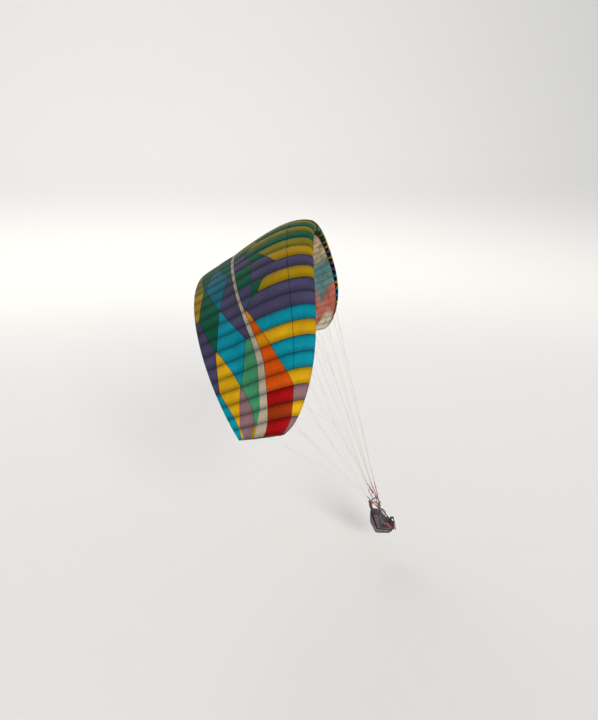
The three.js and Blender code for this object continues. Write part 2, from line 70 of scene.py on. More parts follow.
# Lines, as the part has them: row, chord share and strap, then the ribs of the main lines.
ROWS = [("a", 0.10, 0), ("b", 0.33, 1), ("c", 0.60, 2)]
LINE_RIBS = [3, 9, 15]
STABILO = (19, 0.36, 1)
BRAKE_RIB = 9
STRAP_TOPS = [(0.078, 0.500), (-0.004, 0.506), (-0.092, 0.498)]
STRAP_LEAN, STRAP_FOOT = 0.132, 0.062
STRAP_WIDTH, STRAP_THICK = 0.018, 0.003
LINK_LONG, LINK_WIDE, LINK_WIRE = 0.030, 0.018, 0.004
HANDLE_HIGH, HANDLE_WIDE, HANDLE_BAND, HANDLE_DEPTH, HANDLE_Z = 0.120, 0.074, 0.012, 0.022, 0.318
JOIN = 0.0003

# Harness, upright about the carabiners' line.
SEAT_BACK, SEAT_FRONT, SEAT_HALF, SEAT_TOP, SEAT_THICK = -0.034, 0.346, 0.170, -0.430, 0.045
SEAT_MID, SEAT_LOW = (SEAT_BACK + SEAT_FRONT) / 2, SEAT_TOP - SEAT_THICK
BACK_LEAN, BACK_LONG, BACK_THICK = math.radians(20), 0.600, 0.036
PANEL_Y, PANEL_THICK = 0.1704, 0.005
RING_TOP, RING_LOW, RING_WALL, RING_DROP = 0.034, 0.030, 0.012, 0.052

# Camera, from a fit of the canopy's outline and ribs in the photograph.
CAMERA_PLACE = (1.7109, -12.9497, 0.3180)
CAMERA_TURN = (77.376, -0.129, 6.175)
CAMERA_LENS = 30.0
FLOOR_DROP = 1.12

X, Y, Z = np.eye(3)
SIDES = ((1, "left"), (-1, "right"))


# Places on the wing.

def smooth_step(x):
    x = np.clip(x, 0, 1)
    return x * x * (3 - 2 * x)


def rib_share(rib):
    even = np.asarray(rib, float) / CELLS
    return even * (1 + TIP_NARROWING) - TIP_NARROWING * even ** 3


def half_thickness(c):
    """The usual polynomial of a symmetric section of unit thickness, over chord shares."""
    return 0.2969 * np.sqrt(c) - 0.126 * c - 0.3516 * c ** 2 + 0.2843 * c ** 3 - 0.1036 * c ** 4


def camber_line(c):
    ahead = CAMBER / CAMBER_PLACE ** 2 * (2 * CAMBER_PLACE * c - c ** 2)
    aft = CAMBER / (1 - CAMBER_PLACE) ** 2 * (1 - 2 * CAMBER_PLACE + 2 * CAMBER_PLACE * c - c ** 2)
    return np.where(c < CAMBER_PLACE, ahead, aft)


def sweep(amounts, s):
    return sum(amount * s ** power for amount, power in zip(amounts, SWEEP_POWERS))


def chord_at(s):
    nose = NOSE_X - sweep(NOSE_SWEEP, s)
    tail = NOSE_X - CHORD + sweep(TAIL_SWEEP, s)
    return nose, nose - tail


def skin_place(s, c, upper, puff=0.0):
    """Wing-axes places for span shares s and chord shares c; puff is metres out of the skin."""
    s, c, upper, puff = np.broadcast_arrays(*(np.asarray(v, float) for v in (s, c, upper, puff)))
    nose, chord = chord_at(s)
    half = 5 * THICKNESS * (1 - TIP_LOSS * s) * half_thickness(c) * chord + TAIL_WALL * c
    lift = np.maximum(c - TAIL_LIFT_FROM, 0) * chord * TAIL_LIFT_SLOPE
    height = camber_line(c) * chord + upper * (half + puff) + lift
    twist, along = TIP_TWIST * s ** 2, c * chord
    out = height * np.cos(twist) + along * np.sin(twist)
    lean = SKEW_SHARE * s * (1 - SKEW_FADE * s ** 2) * (c - SKEW_PLACE)
    tilt, radius = ARC_ANGLE * (s - lean), HALF_SPAN / ARC_ANGLE
    return np.stack([
        nose - along * np.cos(twist) + height * np.sin(twist),
        radius * np.sin(tilt) + out * np.sin(tilt),
        HEIGHT - radius * (1 - np.cos(tilt)) + out * np.cos(tilt),
    ], -1)


def pitched(points):
    cos, sin = math.cos(PITCH_BACK), math.sin(PITCH_BACK)
    x, y, z = np.moveaxis(np.asarray(points, float), -1, 0)
    return np.stack([x * cos - z * sin, y, x * sin + z * cos], -1)


HANG = -pitched([NOSE_X - LIFT_SHARE * CHORD, 0, HEIGHT])


def on_wing(points):
    """Wing axes about the carabiners' line to the part's axes."""
    return pitched(points) + HANG


def on_harness(points):
    """Upright axes about the carabiners' line to the part's axes."""
    return np.asarray(points, float) + HANG


# Meshes.

def unit(v):
    v = np.asarray(v, float)
    return v / np.maximum(np.linalg.norm(v, axis=-1, keepdims=True), 1e-12)


def build(name, points, faces, materials, picks=None, layers=()):
    mesh = bpy.data.meshes.new(name)
    mesh.from_pydata(np.asarray(points, float).reshape(-1, 3).tolist(), [], faces)
    for material in materials:
        mesh.materials.append(material)
    if picks is not None:
        mesh.polygons.foreach_set("material_index", np.asarray(picks, np.int32))
    for layer_name, uvs in layers:
        layer = mesh.uv_layers.new(name=layer_name)
        corners = np.empty(len(mesh.loops), np.int32)
        mesh.loops.foreach_get("vertex_index", corners)
        layer.data.foreach_set("uv", np.asarray(uvs, np.float32)[corners].ravel())
    mesh.polygons.foreach_set("use_smooth", np.ones(len(mesh.polygons), bool))
    mesh.update()
    obj = bpy.data.objects.new(name, mesh)
    bpy.context.scene.collection.objects.link(obj)
    return obj


class Heap:
    """Gathers closed solids into one mesh, with a cloth layer in metres and a cell layer in shares."""

    def __init__(self, place=None):
        self.place = place
        self.points, self.faces, self.picks, self.cloth, self.cell, self.count = [], [], [], [], [], 0

    def add(self, points, faces, picks, cloth=None, cell=None):
        points = np.asarray(points, float).reshape(-1, 3)
        blank = np.zeros((len(points), 2))
        self.points.append(points if self.place is None else self.place(points))
        self.faces += [tuple(int(i) + self.count for i in face) for face in faces]
        self.picks += list(picks) if hasattr(picks, "__len__") else [picks] * len(faces)
        self.cloth.append(blank if cloth is None else np.asarray(cloth).reshape(-1, 2))
        self.cell.append(blank if cell is None else np.asarray(cell).reshape(-1, 2))
        self.count += len(points)

    def object(self, name, materials, side=1):
        """Makes the piece; a side of -1 mirrors it to the right."""
        points = np.concatenate(self.points) * [1, side, 1]
        faces = self.faces if side > 0 else [face[::-1] for face in self.faces]
        layers = [("cloth", np.concatenate(self.cloth)), ("cell", np.concatenate(self.cell))]
        return build(name, points, faces, materials, self.picks, layers)


def dress(obj, body, slot, *nodes):
    """Says what a piece rides on and the solids it stands for; the slot is not used."""
    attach(obj, body)
    if nodes:
        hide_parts(*nodes)
    return obj


def both_sides(heap, name, materials, body, slot, *nodes):
    """The piece on the left and its mirror image on the right; nodes are named without their side."""
    return [
        dress(heap.object(f"{name}_{word}", materials, side), body, slot,
              *(f"{node}_{word}" for node in nodes))
        for side, word in SIDES
    ]


def join_rings(heap, rings, pick=0, cloth=None, endless=False):
    """Joins rings of equal count into a tube, endless or closed at both ends."""
    rings = np.asarray(rings, float)
    steps, sides = rings.shape[:2]
    faces = []
    for i in range(steps if endless else steps - 1):
        n = (i + 1) % steps
        for j in range(sides):
            k = (j + 1) % sides
            faces.append((i * sides + j, i * sides + k, n * sides + k, n * sides + j))
    if not endless:
        faces.append(tuple(range(sides))[::-1])
        faces.append(tuple(range((steps - 1) * sides, steps * sides)))
    heap.add(rings, faces, pick, cloth)


def circle(count, across=1.0, up=1.0):
    """Points round a unit circle; powers below one make it squarer."""
    turn = np.linspace(0, 2 * math.pi, count + 1)[:-1]
    a, b = np.cos(turn), np.sin(turn)
    return np.stack([np.sign(a) * np.abs(a) ** across, np.sign(b) * np.abs(b) ** up], -1)


def ways_along(path, closed=False):
    """A path's direction at each of its points."""
    if closed:
        return unit(np.roll(path, -1, 0) - np.roll(path, 1, 0))
    return unit(np.gradient(path, axis=0))


def gone_along(path):
    """How far along a path each of its points lies."""
    return np.concatenate([[0], np.cumsum(np.linalg.norm(np.diff(path, axis=0), axis=1))])


def tube(heap, path, radius, sides=6, pick=0, closed=False):
    """A round tube; radius is one value or one for each point."""
    path = np.asarray(path, float)
    radius = np.broadcast_to(np.asarray(radius, float), (len(path),))
    along = ways_along(path, closed)
    turn = np.arange(sides) * 2 * math.pi / sides
    across = np.cross(along[0], Y if abs(along[0, 1]) < 0.8 else X)
    rings = []
    for place, size, way in zip(path, radius, along):
        across = unit(across - way * across.dot(way))
        other = np.cross(way, across)
        rings.append(place + size * (np.cos(turn)[:, None] * across + np.sin(turn)[:, None] * other))
    join_rings(heap, rings, pick, endless=closed)


def turned(heap, start, way, profile, sides, pick):
    """A turned piece; its profile is how far along the way, and the radius there."""
    tube(heap, [start + way * t for t, _ in profile], [radius for _, radius in profile], sides, pick)


def hoop(heap, centre, a, b, radius, wire, count, pick):
    """A ring of round wire in the plane of two directions."""
    tube(heap, [centre + (a * x + b * y) * radius for x, y in circle(count)], wire, 6, pick, closed=True)


def catmull(points, steps):
    """Centripetal curve through points, as the part's straps follow, with its tangents."""
    points = np.asarray(points, float)
    ahead = 2 * points[0] - points[1]
    behind = 2 * points[-1] - points[-2]
    knots = np.vstack([ahead, points, behind])

    def place(t):
        where = t * (len(points) - 1)
        start = min(int(where), len(points) - 2)
        w = where - start
        p0, p1, p2, p3 = knots[start:start + 4]
        d0, d1, d2 = (np.sum((b - a) ** 2) ** 0.25 for a, b in ((p0, p1), (p1, p2), (p2, p3)))
        t1 = ((p1 - p0) / d0 - (p2 - p0) / (d0 + d1) + (p2 - p1) / d1) * d1
        t2 = ((p2 - p1) / d1 - (p3 - p1) / (d1 + d2) + (p3 - p2) / d2) * d1
        return (p1 + t1 * w + (-3 * p1 + 3 * p2 - 2 * t1 - t2) * w ** 2
                + (2 * p1 - 2 * p2 + t1 + t2) * w ** 3)
    shares = np.linspace(0, 1, steps + 1)
    tiny = 1e-4
    curve = np.array([place(t) for t in shares])
    along = unit(np.array([place(min(1, t + tiny)) - place(max(0, t - tiny)) for t in shares]))
    return curve, along


WEB_SECTION = [(-1, -0.5), (-0.94, -1), (0, -1), (0.94, -1), (1, -0.5),
               (1, 0.5), (0.94, 1), (0, 1), (-0.94, 1), (-1, 0.5)]
TURN_SHARE = 0.8


def eased(part):
    """How far a strap has turned and narrowed from its start to its end, by its share of the way."""
    return smooth_step(np.asarray(part) / TURN_SHARE)


def web_axes(way, wide):
    """Across a webbing, along it and out of its face; its width lies as near to wide as it can."""
    across = unit(wide - way * wide.dot(way))
    return across, way, np.cross(across, way)


def band(heap, curve, start, end=None, pick=0):
    """A flat strap; start and end give its width, thickness and the way its width runs."""
    path, along = curve
    end = end or start
    rings, cloth = [], []
    for i, (place, way, gone) in enumerate(zip(path, along, gone_along(path))):
        change = eased(i / (len(path) - 1))
        across, _, out = web_axes(way, start[2] * (1 - change) + end[2] * change)
        width, thick = (start[k] + (end[k] - start[k]) * change for k in (0, 1))
        rings.append([place + across * w * width / 2 - out * n * thick / 2 for w, n in WEB_SECTION])
        cloth.append([((w + 1) / 2, gone) for w, n in WEB_SECTION])
    join_rings(heap, rings, pick, cloth)


def plate(heap, origin, axes, outline, depth, pick, bevel):
    """A flat solid: outline is in the first two axes, depth along the third, both faces bevelled."""
    outline = np.asarray(outline, float)
    middle = outline.mean(0)
    inner = middle + (outline - middle) * (1 - bevel / np.maximum(
        np.linalg.norm(outline - middle, axis=1, keepdims=True), 1e-9))
    a, b, c = axes
    half = depth / 2
    levels = [(inner, -half), (outline, bevel - half), (outline, half - bevel), (inner, half)]
    rings = [np.asarray(origin) + flat[:, :1] * a + flat[:, 1:] * b + high * c for flat, high in levels]
    join_rings(heap, rings, pick)


def rounded_box(long, wide, corner, steps=4):
    points = []
    for quarter, (sx, sy) in enumerate([(1, 1), (-1, 1), (-1, -1), (1, -1)]):
        for step in range(steps + 1):
            turn = math.pi / 2 * (quarter + step / steps)
            points.append((sx * (long / 2 - corner) + corner * math.cos(turn),
                           sy * (wide / 2 - corner) + corner * math.sin(turn)))
    return points


def rounded_corners(outline, radius, steps=5):
    outline = np.asarray(outline, float)
    points = []
    for i, corner in enumerate(outline):
        before, after = outline[i - 1], outline[(i + 1) % len(outline)]
        reach = min(radius, np.linalg.norm(before - corner) * 0.4, np.linalg.norm(after - corner) * 0.4)
        start, end = corner + unit(before - corner) * reach, corner + unit(after - corner) * reach
        for t in np.linspace(0, 1, steps):
            points.append(start * (1 - t) ** 2 + corner * 2 * t * (1 - t) + end * t ** 2)
    return np.array(points)


def shrunk(outline, inset):
    """The outline moved inwards by the same distance all round."""
    outline = np.asarray(outline, float)
    after = np.roll(outline, -1, 0)
    ahead = unit(after - outline)
    behind = unit(outline - np.roll(outline, 1, 0))
    turn = np.sign(np.sum(outline[:, 0] * after[:, 1] - outline[:, 1] * after[:, 0]))
    inward = lambda way: np.stack([-way[:, 1], way[:, 0]], -1) * turn
    both = inward(ahead) + inward(behind)
    return outline + both / np.maximum(1 + np.sum(ahead * behind, 1), 0.25)[:, None] * inset


def stadium(long, wide, steps=10):
    """Centre line with round ends, its length along the second axis."""
    straight, radius = (long - wide) / 2, wide / 2
    points = []
    for end, middle in ((0, straight), (1, -straight)):
        for step in range(steps + 1):
            turn = math.pi * (end + step / steps)
            points.append((radius * math.cos(turn), middle + radius * math.sin(turn)))
    return points


def evenly(points, step, closed=False):
    """The same route with a point every step."""
    points = np.asarray(points, float)
    if closed:
        points = np.vstack([points, points[:1]])
    gone = gone_along(points)
    marks = np.linspace(0, gone[-1], max(3, int(round(gone[-1] / step)) + 1))
    marks = marks[:-1] if closed else marks
    return np.stack([np.interp(marks, gone, points[:, k]) for k in range(3)], -1)


def thin_solid(heap, grid, thickness, row_picks, cloth, cell):
    """A closed sheet: grid is rows by columns by 3, its face; the back is thickness behind it."""
    rows, columns = grid.shape[:2]
    back = grid - unit(np.cross(np.gradient(grid, axis=0), np.gradient(grid, axis=1))) * thickness
    number = np.arange(rows * columns).reshape(rows, columns)
    offset = rows * columns
    a, b, c, d = number[:-1, :-1], number[1:, :-1], number[1:, 1:], number[:-1, 1:]
    front = np.stack([a, b, c, d], -1).reshape(-1, 4)
    rear = np.stack([a, d, c, b], -1).reshape(-1, 4) + offset
    picks = np.repeat(np.asarray(row_picks), columns - 1)
    rim = [(number[i, 0], number[i + 1, 0]) for i in range(rows - 1)]
    rim += [(number[-1, j], number[-1, j + 1]) for j in range(columns - 1)]
    rim += [(number[i + 1, -1], number[i, -1]) for i in range(rows - 2, -1, -1)]
    rim += [(number[0, j + 1], number[0, j]) for j in range(columns - 2, -1, -1)]
    edge = [(p, p + offset, q + offset, q) for p, q in rim]
    edge_picks = [row_picks[min(int(min(p, q)) // columns, rows - 2)] for p, q in rim]
    faces = [*front.tolist(), *rear.tolist(), *edge]
    both = lambda values: np.concatenate([np.asarray(values).reshape(-1, 2)] * 2)
    heap.add(np.concatenate([grid.reshape(-1, 3), back.reshape(-1, 3)]), faces,
             [*picks, *picks, *edge_picks], both(cloth), both(cell))


# Materials.

class Finish:
    """A material in the making: its shader, and short ways to add nodes to its tree."""

    def __init__(self, name, color, roughness, metallic=0.0, specular=0.5):
        self.material = bpy.data.materials.new(name)
        self.material.use_nodes = True
        self.tree = self.material.node_tree
        self.shader = self.tree.nodes["Principled BSDF"]
        self.normal = None
        self.set(self.shader, Base_Color=color, Roughness=roughness, Metallic=metallic,
                 Specular_IOR_Level=specular)

    def feed(self, socket, value):
        """Links another node's output to a socket, or sets the socket to a number or colour."""
        if isinstance(value, bpy.types.NodeSocket):
            self.tree.links.new(value, socket)
        elif socket.type == "RGBA":
            socket.default_value = (*value[:3], 1)
        else:
            socket.default_value = value

    def set(self, node, **values):
        for key, value in values.items():
            self.feed(node.inputs[key.replace("_", " ")], value)

    def node(self, kind, *settings, **values):
        """A shader node; settings are (property, value) pairs and values are its inputs."""
        made = self.tree.nodes.new("ShaderNode" + kind)
        for key, value in settings:
            setattr(made, key, value)
        self.set(made, **values)
        return made

    def calc(self, operation, *values):
        made = self.node("Math", ("operation", operation))
        for socket, value in zip(made.inputs, values):
            self.feed(socket, value)
        return made.outputs[0]

    def around(self, value, middle, amount):
        """The value's distance from its middle, times an amount."""
        return self.calc("MULTIPLY", self.calc("SUBTRACT", value, middle), amount)

    def waves(self, value, pitch):
        return self.calc("SINE", self.calc("MULTIPLY", value, 2 * math.pi / pitch))

    def mix(self, factor, a, b, blend="MIX"):
        """Two colours mixed; the sockets are the node's colour ones."""
        made = self.node("Mix", ("data_type", "RGBA"), ("blend_type", blend))
        for index, value in ((0, factor), (6, a), (7, b)):
            self.feed(made.inputs[index], value)
        return made.outputs[2]

    def spread(self, value, source, target=(0.0, 1.0), smooth=False):
        """Maps the range source onto the range target."""
        kind = ("interpolation_type", "SMOOTHSTEP" if smooth else "LINEAR")
        return self.node("MapRange", kind, Value=value, From_Min=source[0], From_Max=source[1],
                         To_Min=target[0], To_Max=target[1]).outputs[0]

    def layer(self, name):
        return self.node("UVMap", ("uv_map", name)).outputs["UV"]

    def place(self):
        return self.node("TexCoord").outputs["Object"]

    def axes(self, place):
        return self.node("SeparateXYZ", Vector=place).outputs

    def stretched(self, place, scale, turn=0.0):
        return self.node("Mapping", Vector=place, Rotation=(0, 0, turn), Scale=scale).outputs["Vector"]

    def noise(self, place, scale, detail, roughness=0.5, distortion=0.0):
        return self.node("TexNoise", Vector=place, Scale=scale, Detail=detail, Roughness=roughness,
                         Distortion=distortion).outputs["Fac"]

    def bump(self, height, strength, distance):
        """Adds a bump over those that the surface has so far."""
        made = self.node("Bump", Strength=strength, Distance=distance, Height=height)
        if self.normal:
            self.set(made, Normal=self.normal)
        self.normal = made.outputs["Normal"]
        self.set(self.shader, Normal=self.normal)


def scaled(color, amount, lift=0.0):
    return [min(1.0, channel * amount + lift) for channel in color]


UNDER_SHADE = (0.20, 0.16, 0.13)
THREAD_PITCH, THREAD_THICK = 0.006, 0.0006


def ripstop(name, color, glow=0.46, glow_and_marks_tone=None):
    """Coated nylon: square grid, soft creases, faded patches, painted shade towards the ribs, light passing.
    """
    nylon = Finish(name, color, roughness=0.58, specular=0.07)
    cloth, cell = nylon.layer("cloth"), nylon.layer("cell")
    fade = nylon.noise(cloth, 1.6, 5.0, 0.6)
    if glow_and_marks_tone is None:
        patches = nylon.spread(fade, (0.3, 0.7))
        tone = nylon.mix(patches, scaled(color, 0.74), scaled(color, 1.16, 0.004))
        shade, shade_most = scaled(color, 0.26), 0.60
    else:
        # The lower cloth's tone holds painted light, the colours above it shining through.
        tone = glow_and_marks_tone(nylon, cloth)
        shade, shade_most = UNDER_SHADE, 0.34
    # Painted shade: the cloth darkens in a wide soft band towards each rib, standing in for the shade between
    # the billowed cells and for the light that the rib and its doubled cloth block.
    from_middle = nylon.calc("ABSOLUTE", nylon.calc("SUBTRACT", nylon.axes(cell)[0], 0.5))
    uneven = nylon.calc("ADD", from_middle, nylon.around(fade, 0.5, 0.10))
    painted_rib_shade = nylon.spread(uneven, (0.12, 0.52), (0.0, shade_most), smooth=True)
    shaded = nylon.mix(painted_rib_shade, tone, shade)
    # Random grime, multiplied over a colour that already holds the painted rib shade.
    grime_and_rib_shade = nylon.mix(0.16, shaded, nylon.noise(cloth, 13.0, 4.0, 0.7), "MULTIPLY")
    weave = nylon.node("TexBrick", ("offset", 0.0), Vector=cloth, Scale=1.0, Color1=(0.4, 0.4, 0.4),
                       Color2=(0.5, 0.5, 0.5), Mortar=(1, 1, 1), Mortar_Size=THREAD_THICK,
                       Brick_Width=THREAD_PITCH, Row_Height=THREAD_PITCH)
    thick_threads = nylon.calc("MULTIPLY", weave.outputs["Fac"], 0.24)
    # The fold where the cloth is sewn to the rib.
    fold = nylon.spread(from_middle, (0.482, 0.487), (0.0, 0.45))
    # Thread lines and the seam fold, laid over the grime and the painted rib shade.
    grime_seams_and_rib_shade = nylon.mix(nylon.calc("MAXIMUM", thick_threads, fold), grime_and_rib_shade, (0.010, 0.012, 0.014))
    nylon.set(nylon.shader, Base_Color=grime_seams_and_rib_shade)
    nylon.bump(weave.outputs["Color"], 0.35, 0.0004)
    nylon.bump(nylon.noise(nylon.stretched(cloth, (0.8, 2.6, 1.0)), 7.0, 6.0, 0.62, 0.8), 0.75, 0.014)
    through = nylon.node("BsdfTranslucent", Color=grime_seams_and_rib_shade)
    mixed = nylon.node("MixShader", Fac=glow)
    nylon.feed(mixed.inputs[1], nylon.shader.outputs["BSDF"])
    nylon.feed(mixed.inputs[2], through.outputs["BSDF"])
    nylon.set(nylon.tree.nodes["Material Output"], Surface=mixed.outputs["Shader"])
    return nylon.material


PALETTE = {
    "green": (0.002, 0.165, 0.085),
    "mint": (0.085, 0.440, 0.220),
    "olive": (0.330, 0.300, 0.004),
    "mustard": (0.600, 0.390, 0.003),
    "yellow": (0.900, 0.530, 0.008),
    "amber": (0.960, 0.360, 0.002),
    "purple": (0.100, 0.090, 0.205),
    "mauve": (0.360, 0.215, 0.240),
    "blue": (0.001, 0.400, 0.560),
    "teal": (0.001, 0.220, 0.320),
    "orange": (0.960, 0.130, 0.002),
    "rust": (0.440, 0.045, 0.002),
    "red": (0.480, 0.002, 0.003),
    "cream": (0.680, 0.600, 0.480),
    "seam": (0.012, 0.022, 0.030),
}
# Painted light: where each colour of the upper cloth, shining through the lower cloth, lies from the centre
# to the tip.
UNDER_GLOW_ZONES = [
    (0.00, (0.120, 0.330, 0.170)), (0.12, (0.640, 0.470, 0.240)), (0.28, (0.860, 0.610, 0.350)),
    (0.38, (0.460, 0.450, 0.280)), (0.47, (0.060, 0.260, 0.290)), (0.72, (0.120, 0.320, 0.310)),
    (0.80, (0.640, 0.150, 0.100)), (0.88, (0.560, 0.130, 0.090)), (0.96, (0.660, 0.620, 0.500)),
]


def under_glow_and_marks(nylon, cloth):
    """Pale lower cloth, with painted light: the colours above it shining through in broad zones from centre
    to tip.
    """
    streaks = nylon.noise(nylon.stretched(cloth, (0.5, 1.1, 1.0), 0.6), 1.3, 3.0, 0.5, 0.6)
    span = nylon.calc("DIVIDE", nylon.axes(cloth)[0], HALF_SPAN)
    ramp = nylon.node("ValToRGB", Fac=nylon.calc("ADD", span, nylon.around(streaks, 0.5, 0.55)))
    while len(ramp.color_ramp.elements) < len(UNDER_GLOW_ZONES):
        ramp.color_ramp.elements.new(1.0)
    for element, (where, color) in zip(ramp.color_ramp.elements, UNDER_GLOW_ZONES):
        element.position = where
        element.color = (*color, 1)
    # Faint brushed marks break the zones up.
    marks = nylon.noise(nylon.stretched(cloth, (1.0, 2.6, 1.0), 0.9), 1.9, 3.5, 0.55, 0.4)
    strength = nylon.spread(marks, (0.42, 0.72), (0.0, 0.80), smooth=True)
    return nylon.mix(strength, ramp.outputs["Color"], (0.06, 0.12, 0.10))


WEB_PITCH, STITCH_PITCH = 0.0016, 0.0045
WEB_ROWS = 16


def woven(name, color, thread=None):
    """Webbing: rows of ribs along it, with two lines of stitches near its edges."""
    web = Finish(name, color, roughness=0.72, specular=0.3)
    cloth = web.layer("cloth")
    across, along, _ = web.axes(cloth)
    height = web.calc("MULTIPLY", web.waves(along, WEB_PITCH), web.waves(across, 1 / WEB_ROWS))
    tone = web.mix(web.noise(cloth, 40.0, 3.0), scaled(color, 0.7), scaled(color, 1.35, 0.003))
    edge = web.calc("ABSOLUTE", web.calc("SUBTRACT", across, 0.5))
    tone = web.mix(web.spread(edge, (0.44, 0.5), (0.0, 0.5)), tone, scaled(color, 1.8, 0.02))
    if thread is not None:
        near = web.calc("COMPARE", edge, 0.36, 0.022)
        dash = web.calc("GREATER_THAN", web.waves(along, STITCH_PITCH), -0.2)
        stitched = web.calc("MULTIPLY", near, dash)
        tone = web.mix(stitched, tone, thread)
        height = web.calc("ADD", height, web.calc("MULTIPLY", stitched, 2.0))
    web.set(web.shader, Base_Color=tone)
    web.bump(height, 0.5, 0.0004)
    return web.material


PACK_PITCH, MESH_PITCH = 0.0018, 0.0038
# A wave texture's rows lie this far apart at a scale of one.
WAVE_ROW = 0.32


def pack_cloth(name, color, air_mesh=False):
    """Heavy woven pack cloth, or the open air mesh on a cushion's inner face."""
    pack = Finish(name, color, roughness=0.84, specular=0.25)
    place = pack.place()
    if air_mesh:
        cells = pack.node("TexVoronoi", Vector=place, Scale=1 / MESH_PITCH, Randomness=0.2)
        height, distance = cells.outputs["Distance"], 0.0012
        tone = pack.mix(pack.spread(height, (0.15, 0.42)), scaled(color, 0.30), scaled(color, 1.4, 0.004))
    else:
        threads = [
            pack.node("TexWave", ("bands_direction", way), Vector=place, Scale=WAVE_ROW / PACK_PITCH,
                      Distortion=0.3, Detail=1.0).outputs["Fac"] for way in ("X", "Z")
        ]
        height, distance = pack.calc("ADD", *threads), 0.0004
        tone = pack.mix(pack.noise(place, 22.0, 6.0, 0.7), scaled(color, 0.6), scaled(color, 1.5, 0.004))
    pack.set(pack.shader, Base_Color=tone)
    pack.bump(height, 0.55, distance)
    pack.bump(pack.noise(place, 14.0, 4.0, 0.5, 0.6), 0.35, 0.006)
    return pack.material


def metal(name, color, roughness):
    """Drawn or turned metal with fine scratches and dulled patches."""
    alloy = Finish(name, color, roughness, metallic=1.0)
    place = alloy.place()
    scratch = alloy.noise(alloy.stretched(place, (30.0, 30.0, 900.0)), 3.0, 5.0, 0.7)
    tone = alloy.mix(alloy.noise(place, 60.0, 4.0), scaled(color, 0.75), scaled(color, 1.12))
    rough = alloy.spread(scratch, (0.0, 1.0), (roughness * 0.7, roughness * 1.5))
    alloy.set(alloy.shader, Base_Color=tone, Roughness=rough)
    alloy.bump(scratch, 0.15, 0.0002)
    return alloy.material


def moulded(name, color, roughness=0.45):
    """Moulded plastic or rubber with a fine pebble grain."""
    plastic = Finish(name, color, roughness, specular=0.4)
    place = plastic.place()
    tone = plastic.mix(plastic.noise(place, 45.0, 4.0), scaled(color, 0.7), scaled(color, 1.3, 0.004))
    plastic.set(plastic.shader, Base_Color=tone)
    plastic.bump(plastic.noise(place, 900.0, 2.0), 0.3, 0.0003)
    return plastic.material


def braid(name, color):
    """Sheathed cord with a crossing braid."""
    cord = Finish(name, color, roughness=0.7, specular=0.3)
    strands = cord.node("TexWave", ("bands_direction", "DIAGONAL"), Vector=cord.place(), Scale=160.0,
                        Distortion=0.5).outputs["Fac"]
    cord.set(cord.shader, Base_Color=cord.mix(strands, scaled(color, 0.72), scaled(color, 1.15)))
    cord.bump(strands, 0.4, 0.0003)
    return cord.material


CLOTH = [ripstop(f"cloth_{name}", color) for name, color in PALETTE.items()]
# The lower cloth, with the upper colours painted in as light shining through it.
CLOTH.append(ripstop("cloth_under", (0.6, 0.5, 0.4), 0.30, under_glow_and_marks))
PICK = {name: i for i, name in enumerate([*PALETTE, "under"])}
RIB_CLOTH = [ripstop("cloth_rib", (0.07, 0.075, 0.08), 0.3)]
CORD = {
    "a": braid("cord_red", (0.30, 0.035, 0.025)),
    "b": braid("cord_yellow", (0.42, 0.30, 0.05)),
    "c": braid("cord_blue", (0.06, 0.16, 0.32)),
    "brake": braid("cord_orange", (0.70, 0.22, 0.03)),
    "stabilo": braid("cord_green", (0.08, 0.30, 0.12)),
    "dark": braid("cord_dark", (0.03, 0.03, 0.035)),
}
WEB = woven("web_black", (0.022, 0.023, 0.026), (0.22, 0.22, 0.23))
WEB_RED = woven("web_red", (0.30, 0.022, 0.016), (0.55, 0.52, 0.5))
WEB_GREY = woven("web_grey", (0.11, 0.115, 0.125), (0.5, 0.5, 0.5))
TAPE = woven("tape_pale", (0.42, 0.40, 0.36))
THREAD = braid("thread_pale", (0.55, 0.54, 0.50))
STEEL = metal("steel", (0.62, 0.63, 0.65), 0.24)
ALLOY = metal("alloy", (0.42, 0.44, 0.47), 0.36)
ALLOY_DARK = metal("alloy_dark", (0.10, 0.105, 0.115), 0.42)
PLASTIC = moulded("plastic_black", (0.02, 0.02, 0.022))
RUBBER = moulded("rubber_black", (0.015, 0.015, 0.016), 0.7)
SHELL = pack_cloth("shell_black", (0.020, 0.022, 0.026))
SHELL_GREY = pack_cloth("shell_charcoal", (0.062, 0.068, 0.080))
SHELL_RED = pack_cloth("shell_maroon", (0.120, 0.010, 0.014))
AIR_MESH = pack_cloth("air_mesh", (0.034, 0.036, 0.042), air_mesh=True)


# Canopy panels.

# One colour a cell ahead of the pale band, from the centre cell out to the tip.
STRIPES = ("green olive green olive green olive mustard purple mustard purple purple "
           "blue yellow blue blue yellow mauve yellow mauve").split()
WARM = {10: "amber", 11: "orange", 12: "amber", 13: "orange", 14: "orange",
        15: "orange", 16: "red", 17: "rust", 18: "red"}
# Chord share of the warm wedge's front edge and of the pale band's two edges, by rib.
WEDGE = ([9.5, 10.3, 11.9, 14.1, 16, 17, 18, 19], [0.572, 0.526, 0.441, 0.315, 0.152, 0.128, 0.090, 0.042])
BAND_FRONT = ([0, 7, 8.4, 9.5, 11, 12.8, 14, 16.4, 19],
              [0.700, 0.610, 0.592, 0.572, 0.533, 0.480, 0.454, 0.452, 0.440])
BAND_WIDE = ([0, 8, 10, 12.5, 15, 17, 18, 19], [0.034, 0.028, 0.031, 0.047, 0.080, 0.105, 0.170, 0.230])
# Rear diamonds between zigzag seams, nose to tail, each by the cell where its colour begins.
REAR = [
    {0: "green", 6: "purple", 12: "mint", 18: "mustard"},
    {0: "olive", 3: "teal", 9: "blue", 15: "mauve"},
    {0: "green", 12: "yellow"},
    {0: "olive", 6: "mustard", 9: "purple", 15: "blue"},
]
